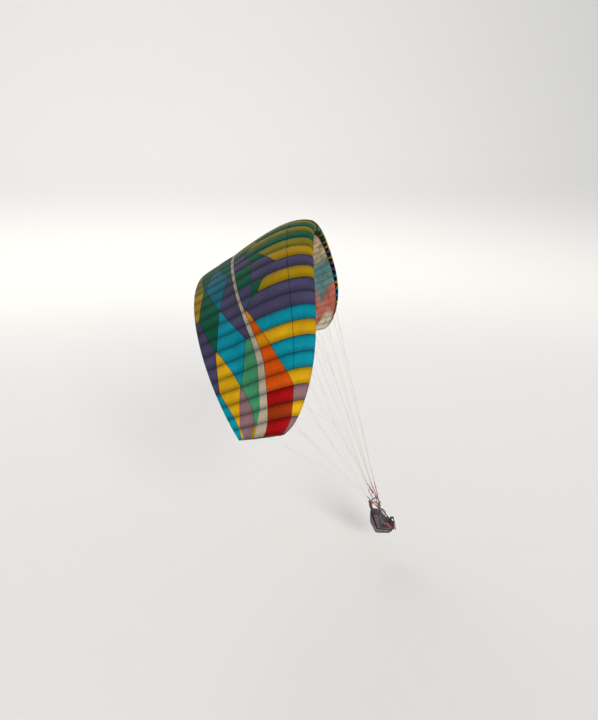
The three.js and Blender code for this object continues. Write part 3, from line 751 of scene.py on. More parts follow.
# Each zigzag seam by its share of the cloth behind the band, its swing and its phase.
REAR_SEAMS = ((0.25, 0.16, 0), (0.56, 0.14, 0.5), (0.82, 0.09, 0))
DIAMOND_CELLS = 6
FRONT_SEAM = ([0, 15, 16, 17, 18, 19], [0.166, 0.166, 0.152, 0.128, 0.090, 0.042])
SEAM_WIDE = 0.0042
ACROSS = 12
UPPER_STEP, LOWER_STEP = 0.024, 0.042
NOSE_STEPS, NOSE_SHARE = 24, 0.02
CLOTH_THICK, RIB_THICK = 0.0009, 0.0007
TUCK_FROM, TUCK_OVER, TUCK_HIGH = 0.80, 0.08, 0.30
PUCKER, PUCKER_REACH = 0.011, 0.13
MOUTH_MARGIN, HEM = 0.14, 0.0032
RIB_INSET, RIB_FRONT, RIB_TAIL = 0.0016, 0.006, 0.985
# Share of its width times its length that the cloth of the rib walls fills.
RIB_FILL = 0.7


def zigzag(rib, period, phase=0.0):
    turn = (rib / period + phase) % 1.0
    return 1 - 4 * abs(turn - 0.5)


def upper_edges(rib):
    """Chord shares of the panel edges on a rib, from the nose to the tail."""
    front = float(np.interp(rib, *BAND_FRONT))
    back = front + float(np.interp(rib, *BAND_WIDE))
    if rib >= 10:
        stripe = middle = min(float(np.interp(rib, *WEDGE)), front)
    else:
        stripe = 0.35 + 0.08 * zigzag(rib, 4, 0.25)
        middle = 0.5 * (stripe + front) + 0.05 * zigzag(rib, 3, 0.1)
    rear = [back + (1 - back) * (base + swing * zigzag(rib, DIAMOND_CELLS, phase))
            for base, swing, phase in REAR_SEAMS]
    return [stripe, middle, front, back, *rear, 1.0]


def upper_colors(cell):
    """Colours between the panel edges of a cell, nose to tail."""
    patches = ["green", "purple"] if cell % 4 < 2 else ["purple", "green"]
    if cell < 4:
        patches = ["olive", "green"] if cell % 2 else ["green", "olive"]
    if cell in WARM:
        patches = [WARM[cell], WARM[cell]]
    rear = [[color for first, color in row.items() if cell >= first][-1] for row in REAR]
    return [STRIPES[cell], *patches, "cream", *rear]


def with_seams(edges, colors, front):
    """Splits panels so that a narrow dark seam lies wherever two of them are sewn together."""
    made_edges, made_colors = [np.array(edges[0])], []
    for i, color in enumerate(colors):
        start, end = np.array(edges[i]), np.array(edges[i + 1])
        if np.all(end - start < 2 * SEAM_WIDE):
            continue
        if i == 0 and np.all(end > front + 4 * SEAM_WIDE):
            made_edges += [front - SEAM_WIDE / 2, front + SEAM_WIDE / 2]
            made_colors += [color, "seam"]
        last = i == len(colors) - 1
        made_edges.append(np.maximum(end if last else end - SEAM_WIDE, made_edges[-1]))
        made_colors.append(color)
        if not last:
            made_edges.append(end)
            made_colors.append("seam")
    return made_edges, made_colors


def cell_puff(width, part, c):
    """How far the inflated cloth stands off between two ribs, with small tucks near the tail."""
    tail = smooth_step((c - TUCK_FROM) / TUCK_OVER)
    shape = 4 * part * (1 - part) * (1 - tail) + TUCK_HIGH * np.abs(np.sin(2 * math.pi * part)) * tail
    fade = np.sqrt(np.minimum(1, c / NOSE_SHARE)) * (1 - TAIL_FADE * c)
    return BILLOW * width * shape * fade


def pucker(part, c, seed):
    """Small gathers that run out from the ribs' seams."""
    reach = np.minimum(part, 1 - part)
    near = (1 - np.exp(-reach / 0.02)) * np.exp(-reach / PUCKER_REACH)
    waves = np.sin(c * 141 + seed * 2.1) * 0.6 + np.sin(c * 83 + seed * 5.3) * 0.4
    return PUCKER * near * waves * np.clip(c / 0.04, 0, 1) * (1 - 0.5 * c)


def mouth_edge(part):
    """The mouth's arched front edge: it meets the lower cloth beside each rib."""
    reach = np.clip((np.minimum(part, 1 - part) - MOUTH_MARGIN) / (0.5 - MOUTH_MARGIN), 0, 1)
    return MOUTH_BACK - (MOUTH_BACK - MOUTH_FRONT) * np.sqrt(1 - (1 - reach) ** 3)


def rooted(value):
    return np.sign(value) * np.sqrt(np.abs(value))


def panel_rows(start, end, steps):
    """Rows of chord shares across a panel, closer together where it runs round the nose."""
    for share in np.arange(steps + 1) / steps:
        if start.min() <= NOSE_SHARE:
            root = rooted(start) + (rooted(end) - rooted(start)) * share
            yield np.sign(root) * root ** 2
        else:
            yield start + (end - start) * share


def skin_panel(heap, cell, edges, colors, upper, step):
    """One cell of one skin. Edges are chord shares on its two ribs, below zero round the nose."""
    s_low, s_high = rib_share(cell), rib_share(cell + 1)
    part = np.linspace(0, 1, ACROSS + 1)
    s = s_low + (s_high - s_low) * part
    rows, picks = [], []
    for low, high, color in zip(edges[:-1], edges[1:], colors):
        start, end = (side[0] + (side[1] - side[0]) * part for side in (low, high))
        nose = start.min() <= NOSE_SHARE
        if upper > 0 and start.min() < 0 and not rows:
            start = -mouth_edge(part)
        steps = NOSE_STEPS if nose else max(1, int(float(np.max(end - start)) * CHORD / step))
        rows += list(panel_rows(start, end, steps))[1 if rows else 0:]
        picks += [PICK[color]] * steps
    q = np.array(rows)
    c = np.abs(q)
    on = np.where(q < 0, -upper, upper)
    puff = cell_puff((s_high - s_low) * HALF_SPAN, part, c) + pucker(part, c, cell + 0.5 * upper)
    grid = skin_place(s[None, :], c, on, puff)
    cloth = np.stack([np.broadcast_to(s * HALF_SPAN, q.shape), q * chord_at(s)[1]], -1)
    shares = np.stack([np.broadcast_to(part, q.shape), q], -1)
    if upper < 0:
        grid, cloth, shares = grid[:, ::-1], cloth[:, ::-1], shares[:, ::-1]
    thin_solid(heap, on_wing(grid), CLOTH_THICK, picks, cloth, shares)
    if cell < OPEN_CELLS:
        tube(heap, on_wing(grid[0]), HEM, 6, PICK["seam"])
    return float(np.mean(np.linalg.norm(np.diff(grid, axis=0), axis=-1).sum(0)))


def rib_sheet(heap, rib):
    """The cloth wall between two cells, from the mouth's edge to the tail."""
    s = float(rib_share(rib))
    c = np.linspace(math.sqrt(RIB_FRONT), math.sqrt(RIB_TAIL), 40) ** 2
    high = np.linspace(-1, 1, 4)
    top, low = skin_place(s, c, 1, -RIB_INSET), skin_place(s, c, -1, -RIB_INSET)
    grid = low[:, None] + (top - low)[:, None] * (high[None, :, None] + 1) / 2
    cloth = np.stack(np.broadcast_arrays(c[:, None] * chord_at(s)[1], high * 0.2), -1)
    # A cell share of a half is far from any seam, so the rib's own cloth gets none of the painted rib shade.
    thin_solid(heap, on_wing(grid), RIB_THICK, [0] * (len(c) - 1), cloth, np.full(cloth.shape, 0.5))


def as_sheet(obj, width, length):
    """Works out the cloth's area from its own mesh, half of what its two faces have together, and a width
    from it, and uses neither.
    """
    area = sum(face.area for face in obj.data.polygons) / 2
    width = width or area / length / RIB_FILL


def canopy_section(section, first, last):
    """The skins and ribs between two of the canopy's main ribs."""
    upper, lower, ribs = Heap(), Heap(), Heap()
    long_upper = long_lower = 0.0
    for cell in range(first, last):
        front, back = (-MOUTH_FRONT, MOUTH_BACK) if cell < OPEN_CELLS else (0.0, 0.0)
        edges = [(front, front), *zip(upper_edges(cell), upper_edges(cell + 1))]
        edges, colors = with_seams(edges, upper_colors(cell), np.interp([cell, cell + 1], *FRONT_SEAM))
        long_upper = max(long_upper, skin_panel(upper, cell, edges, colors, 1, UPPER_STEP))
        edges = [(share, share) for share in (back, 0.3, 0.62, 1.0)]
        long_lower = max(long_lower, skin_panel(lower, cell, edges, ["under"] * 3, -1, LOWER_STEP))
    for rib in range(first, last):
        # The centre rib stands just off the mirror plane, so that its two halves don't meet.
        rib_sheet(ribs, rib + (0.003 if rib == 0 else 0))
    if last == CELLS:
        rib_sheet(ribs, last)
    width = float(rib_share(last) - rib_share(first)) * HALF_SPAN * 1.04
    for name, heap, cloth, wide, long in (
            ("upper_skin", upper, CLOTH, width, long_upper * 1.01),
            ("lower_skin", lower, CLOTH, width, long_lower * 1.01),
            ("ribs", ribs, RIB_CLOTH, None, CHORD)):
        pair = both_sides(heap, f"{name}_{section}", cloth, "wing", "canopy_cloth", f"canopy_{section}")
        for sheet in pair:
            as_sheet(sheet, wide, long)


for number, ribs in enumerate(zip(SECTION_RIBS[:-1], SECTION_RIBS[1:]), 1):
    canopy_section(number, *ribs)


# Lines.

FOOT = np.array([0, HANG_SIDE, STRAP_FOOT])
# How far short of the cloth a line ends, in its tab, and at the trailing edge.
TAB_HANG, TAIL_HANG = 0.014, 0.004
# The folded end of a line: its length, and its thickness for a single line's one.
FOLD_LONG, FOLD_THICK = 0.09, 1.55
# Radii of the lines.
MAIN_LINE, TIP_LINE, BRAKE_LINE = 0.0011, 0.0010, 0.0012
FAN_LINE, UPPER_LINE, FINE_LINE = 0.0008, 0.0007, 0.0006
# Where lines branch, as shares of the way up.
FORKS = {"a": 0.66, "b": 0.66, "c": 0.64}
ROW_SPLIT, TIP_FORK, BRAKE_FORK, FAN_KNOT = 0.62, 0.86, 0.52, 0.5
FOURTH_ROW = 0.77
TAB_LOOP = [(0.012, -0.004), (0.011, 0.004), (0.005, 0.012), (0, 0.0145), (-0.005, 0.012), (-0.011, 0.004),
            (-0.012, -0.004)]
# The brake line's fans at the trailing edge, by rib.
BRAKE_FANS = ((3, 5, 7), (8, 9, 11), (13, 15, 17.5))


def strap_top(strap):
    x, z = STRAP_TOPS[strap]
    return np.array([x, HANG_SIDE + STRAP_LEAN, z])


def strap_axes(strap):
    """On a riser strap: across its width, along it, out of its face."""
    return web_axes(unit(strap_top(strap) - FOOT), X)


def tab_place(rib, share):
    return skin_place(rib_share(rib), share, -1)


def line_start(strap, slot):
    return strap_top(strap) + strap_axes(strap)[1] * (LINK_LONG + 2 * JOIN) + X * slot * 0.004


def handle_centre():
    share = (HANDLE_Z - STRAP_FOOT) / (STRAP_TOPS[2][1] - STRAP_FOOT)
    beside = (STRAP_WIDTH + HANDLE_WIDE) / 2 + 2 * JOIN
    return FOOT + (strap_top(2) - FOOT) * share - strap_axes(2)[0] * beside


def short_of(end, start, gap):
    """The place a gap before the end of the way from a start."""
    return end - unit(end - start) * gap


def sewn_line(heap, start, end, radius, start_sewn=True):
    """A taut line whose ends are folded back and sewn, so they are thicker for a hand's width."""
    length = np.linalg.norm(end - start)
    fold = min(FOLD_LONG, length / 4)
    near = [0, fold * 0.08, fold * 0.85, fold]
    marks = near + [length - mark for mark in near[::-1]]
    low = FOLD_THICK if start_sewn else 1.0
    sizes = [1.0, low, low, 1.0, 1.0, FOLD_THICK, FOLD_THICK, 1.0]
    way = (end - start) / length
    tube(heap, [start + way * mark for mark in marks], radius * np.array(sizes))


def line_cascade(row, strap, index, rib, share):
    """The main line and its three upper branches."""
    heap = Heap(on_wing)
    start, middle_tab = line_start(strap, index - 1), tab_place(rib, share)
    fork = start + (middle_tab - start) * FORKS[row]
    sewn_line(heap, short_of(start, middle_tab, 2 * JOIN), fork, MAIN_LINE)
    for one in (rib - 2, rib, rib + 2):
        end = short_of(tab_place(one, share), fork, TAB_HANG)
        sewn_line(heap, fork, end, UPPER_LINE)
        if row == "c":
            split = fork + (end - fork) * ROW_SPLIT
            rear_end = short_of(tab_place(one, FOURTH_ROW), split, TAB_HANG)
            sewn_line(heap, split, rear_end, FINE_LINE, start_sewn=False)
    return heap


def tab_loop(heap, rib, share):
    """A folded tape sewn to the rib where a line hangs."""
    root = tab_place(rib, share)
    ahead = unit(tab_place(rib, share - 0.01) - root)
    down = unit(root - skin_place(rib_share(rib), share, 1))
    loop = [root + ahead * x + down * z for x, z in TAB_LOOP]
    band(heap, catmull(loop, 12), (0.009, 0.0012, np.cross(ahead, down)))


def stabilo_cascade(tabs):
    """The wing tip's line, with three branches."""
    rib, share, strap = STABILO
    heap = Heap(on_wing)
    start, end = line_start(strap, 2), tab_place(rib, share)
    fork = start + (end - start) * TIP_FORK
    sewn_line(heap, short_of(start, end, 2 * JOIN), fork, TIP_LINE)
    for target in (share, 0.10, 0.66):
        sewn_line(heap, fork, short_of(tab_place(rib, target), fork, TAB_HANG), FINE_LINE)
        tab_loop(tabs, rib, target)
    return heap


def brake_cascade():
    """The brake line from its handle to three fans along the trailing edge."""
    heap = Heap(on_wing)
    start, end = handle_centre() + strap_axes(2)[1] * (HANDLE_HIGH / 2 + JOIN), tab_place(BRAKE_RIB, 1.0)
    fork = start + (end - start) * BRAKE_FORK
    sewn_line(heap, short_of(start, end, 2 * JOIN), fork, BRAKE_LINE)
    for fan in BRAKE_FANS:
        tails = [tab_place(rib, 1.0) for rib in fan]
        aim = end if BRAKE_RIB in fan else np.mean(tails, 0)
        knot = fork + (aim - fork) * FAN_KNOT
        sewn_line(heap, fork, knot, FAN_LINE)
        for tail in tails:
            sewn_line(heap, knot, short_of(tail, knot, TAIL_HANG), FINE_LINE)
    return heap


def rigging():
    tabs, cascades = Heap(on_wing), []
    for row, share, strap in ROWS:
        for index, rib in enumerate(LINE_RIBS):
            cascades.append((f"{row}{index + 1}", CORD[row], line_cascade(row, strap, index, rib, share)))
            for one in (rib - 2, rib, rib + 2):
                tab_loop(tabs, one, share)
                if row == "c":
                    tab_loop(tabs, one, FOURTH_ROW)
    cascades.append(("stabilo", CORD["stabilo"], stabilo_cascade(tabs)))
    cascades.append(("brake", CORD["brake"], brake_cascade()))
    for line, cord, heap in cascades:
        both_sides(heap, f"cascade_{line}", [cord], "wing", "line_cord", f"line_{line}")
    both_sides(tabs, "line_tabs", [TAPE], "wing", "webbing")


rigging()


# Risers and links.

STITCH = 0.0005
# Half of the gap between the two layers of webbing that pass through a carabiner.
WEB_APART = 0.0087
LOOP_LOW = 0.017
# The end of a riser strap folded through its link: how far out of its face and along it.
LINK_FOLD = [(0.0017, -0.060), (0.0026, -0.050), (0.0036, -0.010), (0.0042, 0.002), (0.0022, 0.0072),
             (0.0, 0.0083), (-0.0022, 0.0072), (-0.0042, 0.002), (-0.0030, -0.006), (-0.0017, -0.012)]
PULLEY_TAPE = [(0.0022, -0.009), (0.0026, 0.010), (0.0012, 0.028), (0.0, 0.034)]
HANDLE_WRAP = [(0.0, -0.0075), (0.0115, -0.0065), (0.0118, 0.0), (0.0115, 0.0052), (0.0, 0.0062),
               (-0.0115, 0.0052), (-0.0118, 0.0), (-0.0115, -0.0065), (-0.001, -0.0075)]


def box_stitch(heap, centre, axes, long, wide, pick=1):
    """A sewn rectangle with its cross, standing just proud of the webbing."""
    a, b, c = axes
    corners = [centre + a * x * wide / 2 + b * y * long / 2 for x, y in ((-1, -1), (1, -1), (1, 1), (-1, 1))]
    for start, end in zip(corners, corners[1:] + corners[:1]):
        tube(heap, [start, end], STITCH, 4, pick)
    tube(heap, [corners[0], corners[2]], STITCH, 4, pick)
    tube(heap, [corners[1] + c * STITCH, corners[3] + c * STITCH], STITCH, 4, pick)


def carabiner_loop(heap, route, size):
    """Webbing through a carabiner; the route is half of it, how far out and how high, ring last."""
    route = route + [(-out, high) for out, high in route[-2::-1]]
    band(heap, catmull([[0, HANG_SIDE + out, high] for out, high in route], 40), size)


def sewn_block(heap, high, outline, face, long, wide):
    """The block where a carabiner's webbing is sewn together, stitched on both faces."""
    centre = np.array([0, HANG_SIDE, high])
    plate(heap, centre, (X, Z, Y), outline, 0.0165, 0, 0.001)
    for sign in (-1, 1):
        box_stitch(heap, centre + Y * sign * face, (X, Z, Y * sign), long, wide)


def folded_tape(heap, centre, axes, route, width, thick, pick):
    """A tape whose route is how far out of a strap's face and how far along it."""
    points = [centre + axes[2] * out + axes[1] * along for out, along in route]
    band(heap, catmull(points, 18), (width, thick, axes[0]), pick=pick)


def riser_straps(heap):
    for strap, pick in ((0, 2), (1, 3), (2, 0)):
        axes, top = strap_axes(strap), strap_top(strap)
        _, along, out = axes
        reach = np.linalg.norm(top - FOOT)
        points = [FOOT + along * reach * part for part in np.linspace(0, 1, 5)]
        band(heap, catmull(points, 24), (STRAP_WIDTH, STRAP_THICK, X), pick=pick)
        folded_tape(heap, top, axes, LINK_FOLD, STRAP_WIDTH - 0.003, 0.0016, pick)
        for where in (0.030, 0.052):
            box_stitch(heap, top - along * where + out * 0.0046, axes, 0.014, 0.011)


def riser_pulleys(heap):
    """The brake line's pulley on a short tape, and the speed system's two on the front strap."""
    across, along, out = strap_axes(2)
    brake = handle_centre() + along * (HANDLE_HIGH / 2 + 0.022)
    spot = FOOT + along * np.dot(brake - FOOT, along)
    folded_tape(heap, spot, (along, -across, out), PULLEY_TAPE, 0.010, 0.0014, 0)
    hoop(heap, brake + along * 0.002, across, out, 0.006, 0.0017, 12, 6)
    across, along, out = strap_axes(0)
    low, high = 0.150, 0.330
    for where, size in ((low, 0.010), (high, 0.008)):
        centre = FOOT + along * where + across * (STRAP_WIDTH / 2 + 0.006) + out * 0.001
        hoop(heap, centre, across, along, size, 0.0022, 16, 6)
        plate(heap, centre, (across, along, out), rounded_box(0.013, 0.024, 0.004), 0.0075, 5, 0.001)
    tube(heap, [FOOT + along * where + across * 0.016 for where in (low, high)], 0.0009, 5, 4)


def risers():
    heap = Heap(on_wing)
    route = [(-0.0016, 0.055), (-0.0032, 0.044), (-WEB_APART, 0.028), (-WEB_APART, 0.010),
             (-0.0062, 0.0028), (0, 0)]
    carabiner_loop(heap, [(out, LOOP_LOW + high) for out, high in route], (0.020, STRAP_THICK, X))
    sewn_block(heap, 0.060, rounded_box(0.021, 0.027, 0.003), 0.0084, 0.020, 0.014)
    riser_straps(heap)
    riser_pulleys(heap)
    # A rubber band keeps the loop in place on the carabiner.
    hoop(heap, np.array([0, HANG_SIDE, 0.034]), X, Y, 0.0112, 0.0016, 24, 4)
    materials = [WEB, THREAD, WEB_RED, WEB_GREY, RUBBER, PLASTIC, STEEL]
    both_sides(heap, "riser_web", materials, "wing", "webbing", "riser")


def quick_link(row, strap):
    """A steel link with its screwed nut and the rubber keeper on the strap's end."""
    heap = Heap(on_wing)
    across, along, out = strap_axes(strap)
    centre = strap_top(strap) + along * (LINK_LONG / 2 + JOIN)
    ring = [centre + across * x + along * y for x, y in stadium(LINK_LONG - LINK_WIRE, LINK_WIDE - LINK_WIRE)]
    tube(heap, ring, LINK_WIRE / 2, 10, 0, closed=True)
    side = centre + across * (LINK_WIDE - LINK_WIRE) / 2
    turned(heap, side, along, [(-0.0055, 0.0026), (-0.005, 0.0031), (0.005, 0.0031), (0.0055, 0.0026)], 6, 0)
    for y in (-0.0055, 0.0055):
        turned(heap, side + along * y, along, [(-0.0008, 0.0024), (0.0008, 0.0024)], 10, 0)
    keeper = [centre + across * x * 0.0062 - along * 0.0085 + out * z for x, z in
              ((-1, 0.0036), (1, 0.0036), (1.3, 0), (1, -0.0036), (-1, -0.0036), (-1.3, 0))]
    tube(heap, keeper, 0.0009, 6, 1, closed=True)
    both_sides(heap, f"quick_link_{row}", [STEEL, RUBBER], "wing", "link_steel", f"link_{row}")


def brake_handle():
    """A soft webbing loop with a wrapped top and the snap that parks it."""
    heap = Heap(on_wing)
    across, along, out = axes = strap_axes(2)
    centre = handle_centre()
    line = stadium(HANDLE_HIGH - HANDLE_BAND, HANDLE_WIDE - HANDLE_BAND, 16)
    path = np.array([centre + across * x + along * y for x, y in line])
    rings, cloth = [], []
    for i, (spot, way) in enumerate(zip(path, ways_along(path, closed=True))):
        inward = np.cross(out, way)
        squeeze = 1 - 0.10 * math.sin(i * 4 * math.pi / len(path)) ** 2
        rings.append([spot + out * a * HANDLE_DEPTH / 2 * squeeze + inward * b * HANDLE_BAND / 2
                      for a, b in circle(16, 0.5, 0.7)])
        cloth.append([((a + 1) / 2, i * 0.0088) for a, _ in circle(16)])
    join_rings(heap, rings, 0, cloth, endless=True)
    top = centre + along * (HANDLE_HIGH / 2 - HANDLE_BAND / 2)
    folded_tape(heap, top, axes, HANDLE_WRAP, 0.020, 0.0014, 1)
    snap = centre + across * (HANDLE_WIDE / 2 - 0.0035)
    tube(heap, [snap - out * 0.0118, snap + out * 0.0118], 0.0042, 14, 2)
    both_sides(heap, "brake_grip", [WEB_RED, WEB, PLASTIC], "wing", "handle_web", "brake_handle")


risers()
for row, _, strap in ROWS:
    quick_link(row, strap)
brake_handle()


# Soft goods.

DASH, DASH_GAP, DASH_WIDE = 0.0042, 0.0028, 0.00045
VOXEL, FOAM_VOXEL = 0.0062, 0.0078


def read(items, key):
    """One vector of every vertex, normal or face, as rows."""
    values = np.empty(len(items) * 3, np.float32)
    items.foreach_get(key, values)
    return values.reshape(-1, 3).astype(float)


def set_coordinates(mesh, places):
    mesh.vertices.foreach_set("co", np.asarray(places, np.float32).ravel())
    mesh.update()


def settle(obj):
    """Applies the object's modifiers to its mesh."""
    made = bpy.data.meshes.new_from_object(obj.evaluated_get(bpy.context.evaluated_depsgraph_get()))
    obj.modifiers.clear()
    obj.data = made


def inflated(obj, pressure, cap):
    """Blows the mesh up as cloth under inner pressure; no point moves further than the cap."""
    scene = bpy.context.scene
    before = read(obj.data.vertices, "co")
    cloth = obj.modifiers.new("cloth", "CLOTH")
    cloth.settings.quality = 5
    cloth.settings.use_pressure = True
    cloth.settings.uniform_pressure_force = pressure
    cloth.settings.effector_weights.gravity = 0
    for step in range(1, 21):
        scene.frame_set(step)
    after = read(obj.evaluated_get(bpy.context.evaluated_depsgraph_get()).data.vertices, "co")
    obj.modifiers.clear()
    scene.frame_set(1)
    move = after - before
    length = np.linalg.norm(move, axis=1, keepdims=True)
    set_coordinates(obj.data, before + move * np.minimum(1, cap / np.maximum(length, 1e-9)))


def stuffed(obj, voxel, pressure, cap):
    """Turns a plain closed form into a filled cushion."""
    even = obj.modifiers.new("even", "REMESH")
    even.mode = "VOXEL"
    even.voxel_size = voxel
    settle(obj)
    inflated(obj, pressure, cap)
    smooth = obj.modifiers.new("smooth", "SUBSURF")
    smooth.levels = smooth.render_levels = 1
    settle(obj)
    obj.data.polygons.foreach_set("use_smooth", np.ones(len(obj.data.polygons), bool))


def paint(obj, materials, choose):
    """Gives each face the material that choose(centres, normals) picks."""
    obj.data.materials.clear()
    for material in materials:
        obj.data.materials.append(material)
    faces = obj.data.polygons
    picks = choose(read(faces, "center") - HANG, read(faces, "normal"))
    faces.foreach_set("material_index", np.asarray(picks, np.int32))


def channel(obj, through, across, facing, width, depth):
    """Draws the cloth in along the plane through a place, on the side that faces a way."""
    places, ways = read(obj.data.vertices, "co"), read(obj.data.vertex_normals, "vector")
    off = (places - on_harness(through)) @ unit(across)
    faced = np.clip((ways @ unit(facing) - 0.2) / 0.5, 0, 1)
    pull = depth * np.exp(-(off / width) ** 2) * faced
    set_coordinates(obj.data, places - ways * pull[:, None])


def padding(obj, node):
    """Dresses a finished cushion, and gives the surface that its trim lies on."""
    dress(obj, "harness", "harness_padding", node)
    return BVHTree.FromPolygons([Vector(v) for v in read(obj.data.vertices, "co")],
                                [tuple(face.vertices) for face in obj.data.polygons])


def laid_on(surface, points, lift):
    """The nearest places on a surface to points in the harness axes, in the part's axes."""
    found = [surface.find_nearest(Vector(on_harness(p))) for p in points]
    return np.array([np.array(place) + np.array(way) * lift for place, way, *_ in found])


def piping(heap, surface, route, radius, pick):
    """A cord sewn into the seam that runs round a cushion."""
    path = laid_on(surface, evenly(route, 0.010, True), radius * 0.5)
    for _ in range(2):
        path = path * 0.5 + (np.roll(path, 1, 0) + np.roll(path, -1, 0)) / 2 * 0.5
    tube(heap, path, radius, 6, pick, closed=True)


def stitches(heap, surface, start, end):
    """A row of stitches lying on the cloth."""
    marks = laid_on(surface, evenly([start, end], DASH + DASH_GAP), DASH_WIDE * 0.6)
    for here, there in zip(marks[:-1], marks[1:]):
        tube(heap, [here, here + (there - here) * DASH / (DASH + DASH_GAP)], DASH_WIDE, 4)


def sleeve(heap, path, along, change, width, thick, section, cord, pick):
    """A pad round a strap, with a cord sewn along both of its edges."""
    rings, edges = [], ([], [])
    for place, way, turn, wide, high in zip(path, along, change, width, thick):
        across, _, out = web_axes(way, -Y * (1 - turn) + X * turn)
        rings.append([place + across * a * wide / 2 - out * b * high / 2 for a, b in section])
        for row, sign in zip(edges, (-1, 1)):
            row.append(place + across * sign * wide / 2)
    join_rings(heap, rings)
    for row in edges:
        tube(heap, row, cord, 6, pick)


def ladder_lock(heap, centre, axes, wide, pick, bar=0.0022):
    """A flat adjuster: a frame with two bars that the webbing threads."""
    a, b, c = axes
    half, long = a * wide / 2, wide * 0.95
    corners = [centre + half * x + b * long / 2 * y for x, y in ((-1, -1), (1, -1), (1, 1), (-1, 1))]
    tube(heap, evenly(corners, wide / 5, True), bar, 8, pick, closed=True)
    for y in (-0.16, 0.16):
        middle = centre + b * y * long
        tube(heap, [middle - half, middle + c * bar * 0.4, middle + half], bar * 0.8, 8, pick)


# Harness.

TRIM_CORD = 0.0022
CUSHION_PRESSURE, FOAM_PRESSURE = 3.5, 3.0
PROTECTOR_HALF = 0.150
SHEET_HALF = 0.0008
# Width and thickness of the webbing: in the carabiners, at the buckles and across the chest, and on the legs.
MAIN_WEB, LEG_WEB = (0.025, 0.003), (0.036, 0.0042)
# Where the shoulder straps meet the chest strap.
BUCKLE_Y = 0.2027
# Sewn channels across the cushions: forward on the seat, up the back rest, up the foam's rear and
# forward under it. A row of stitches runs on each side of a channel.
SEAT_SEAMS, BACK_SEAMS = (0.085, 0.205), (0.13, 0.27, 0.41)
FOAM_REAR_SEAMS, FOAM_LOW_SEAMS = (-0.535, -0.330, -0.230), (0.03, 0.14)
SEAM_APART = 0.004


def beside(seams):
    return [seam + shift for seam in seams for shift in (-SEAM_APART, SEAM_APART)]


def back_place(along, out, y=0.0):
    """A place on the back rest: how far up it, how far behind its front face."""
    cos, sin = math.cos(BACK_LEAN), math.sin(BACK_LEAN)
    return np.array([SEAT_BACK - along * sin - out * cos, y, SEAT_TOP + 0.004 + along * cos - out * sin])


BACK_OUT = unit(back_place(0, 1) - back_place(0, 0))
BACK_UP = unit(back_place(1, 0) - back_place(0, 0))


def carabiners():
    heap = Heap(on_harness)
    middle_top, middle_low = RING_TOP - RING_WALL / 2, RING_LOW - RING_WALL / 2
    line = []
    for radius, drop, first, last in ((middle_top, 0, 0.08, math.pi),
                                      (middle_low, RING_DROP, math.pi, 2 * math.pi + 0.12)):
        line += [[radius * math.cos(t), HANG_SIDE, radius * math.sin(t) - drop]
                 for t in np.linspace(first, last, 16)]
    path = evenly(line, 0.005)
    # An I-shaped forging: full at the rims and hollowed along both faces.
    section = circle(16, 0.5, 0.5) * (RING_WALL / 2 - 0.0002)
    section[np.abs(section[:, 0]) < RING_WALL / 3, 1] *= 0.72
    join_rings(heap, [[spot + unit(np.cross(Y, way)) * a + Y * b for a, b in section]
                      for spot, way in zip(path, ways_along(path))])
    low = np.array([middle_low, HANG_SIDE, -RING_DROP + 0.003])
    gate = np.array([middle_top, HANG_SIDE, 0.002]) - low
    turned(heap, low, gate, [(0, 0.0040), (0.04, 0.0046), (0.96, 0.0046), (1, 0.0040)], 14, 1)
    sleeve_steps = [(0.16, 0.0050), (0.18, 0.0058), (0.36, 0.0058), (0.38, 0.0054),
                    (0.62, 0.0054), (0.64, 0.0058), (0.84, 0.0058), (0.86, 0.0050)]
    turned(heap, low, gate, sleeve_steps, 16, 1)
    for x, y in circle(12) * 0.0053:
        turned(heap, low + X * x + Y * y, gate, [(0.38, 0.0006), (0.62, 0.0006)], 4, 0)
    for spot in (low + unit(gate) * 0.002, low + gate - unit(gate) * 0.002):
        rivet = [(-0.0062, 0.0016), (-0.0056, 0.0026), (0.0056, 0.0026), (0.0062, 0.0016)]
        turned(heap, spot, Y, rivet, 12, 2)
    both_sides(heap, "locking_ring", [ALLOY_DARK, ALLOY, STEEL], "harness", "alloy", "carabiner")


def seat_cushion():
    heap = Heap(on_harness)
    flat = rounded_box(SEAT_FRONT - SEAT_BACK - 0.010, 2 * SEAT_HALF - 0.010, 0.042, 6)
    plate(heap, [SEAT_MID, 0, SEAT_TOP - SEAT_THICK / 2], (X, Y, Z), flat, SEAT_THICK - 0.011, 0, 0.007)
    cushion = heap.object("seat_cushion", [SHELL])
    stuffed(cushion, VOXEL, CUSHION_PRESSURE, 0.0052)
    for x in SEAT_SEAMS:
        channel(cushion, [x, 0, 0], X, Z, 0.009, 0.0065)
    channel(cushion, [0.30, 0, 0], X, Z, 0.030, 0.004)
    paint(cushion, [SHELL, AIR_MESH, SHELL_GREY], lambda at, way: np.where(
        way[:, 2] > 0.55, np.where(at[:, 0] > 0.285, 0, 1), np.where(way[:, 2] < -0.6, 2, 0)))
    surface = padding(cushion, "seat")
    trim = Heap()
    for z in (SEAT_TOP - 0.006, SEAT_LOW + 0.006):
        rim = rounded_box(SEAT_FRONT - SEAT_BACK, 2 * SEAT_HALF, 0.045, 6)
        piping(trim, surface, [[SEAT_MID + x, y, z] for x, y in rim], TRIM_CORD, 1)
    for x in (*beside(SEAT_SEAMS), 0.288):
        stitches(trim, surface, [x, -0.150, SEAT_TOP], [x, 0.150, SEAT_TOP])
    for y in (-0.105, 0.105):
        stitches(trim, surface, [0.012, y, SEAT_LOW], [0.330, y, SEAT_LOW])
    dress(trim.object("seat_trim", [THREAD, SHELL_RED]), "harness", "harness_shell")


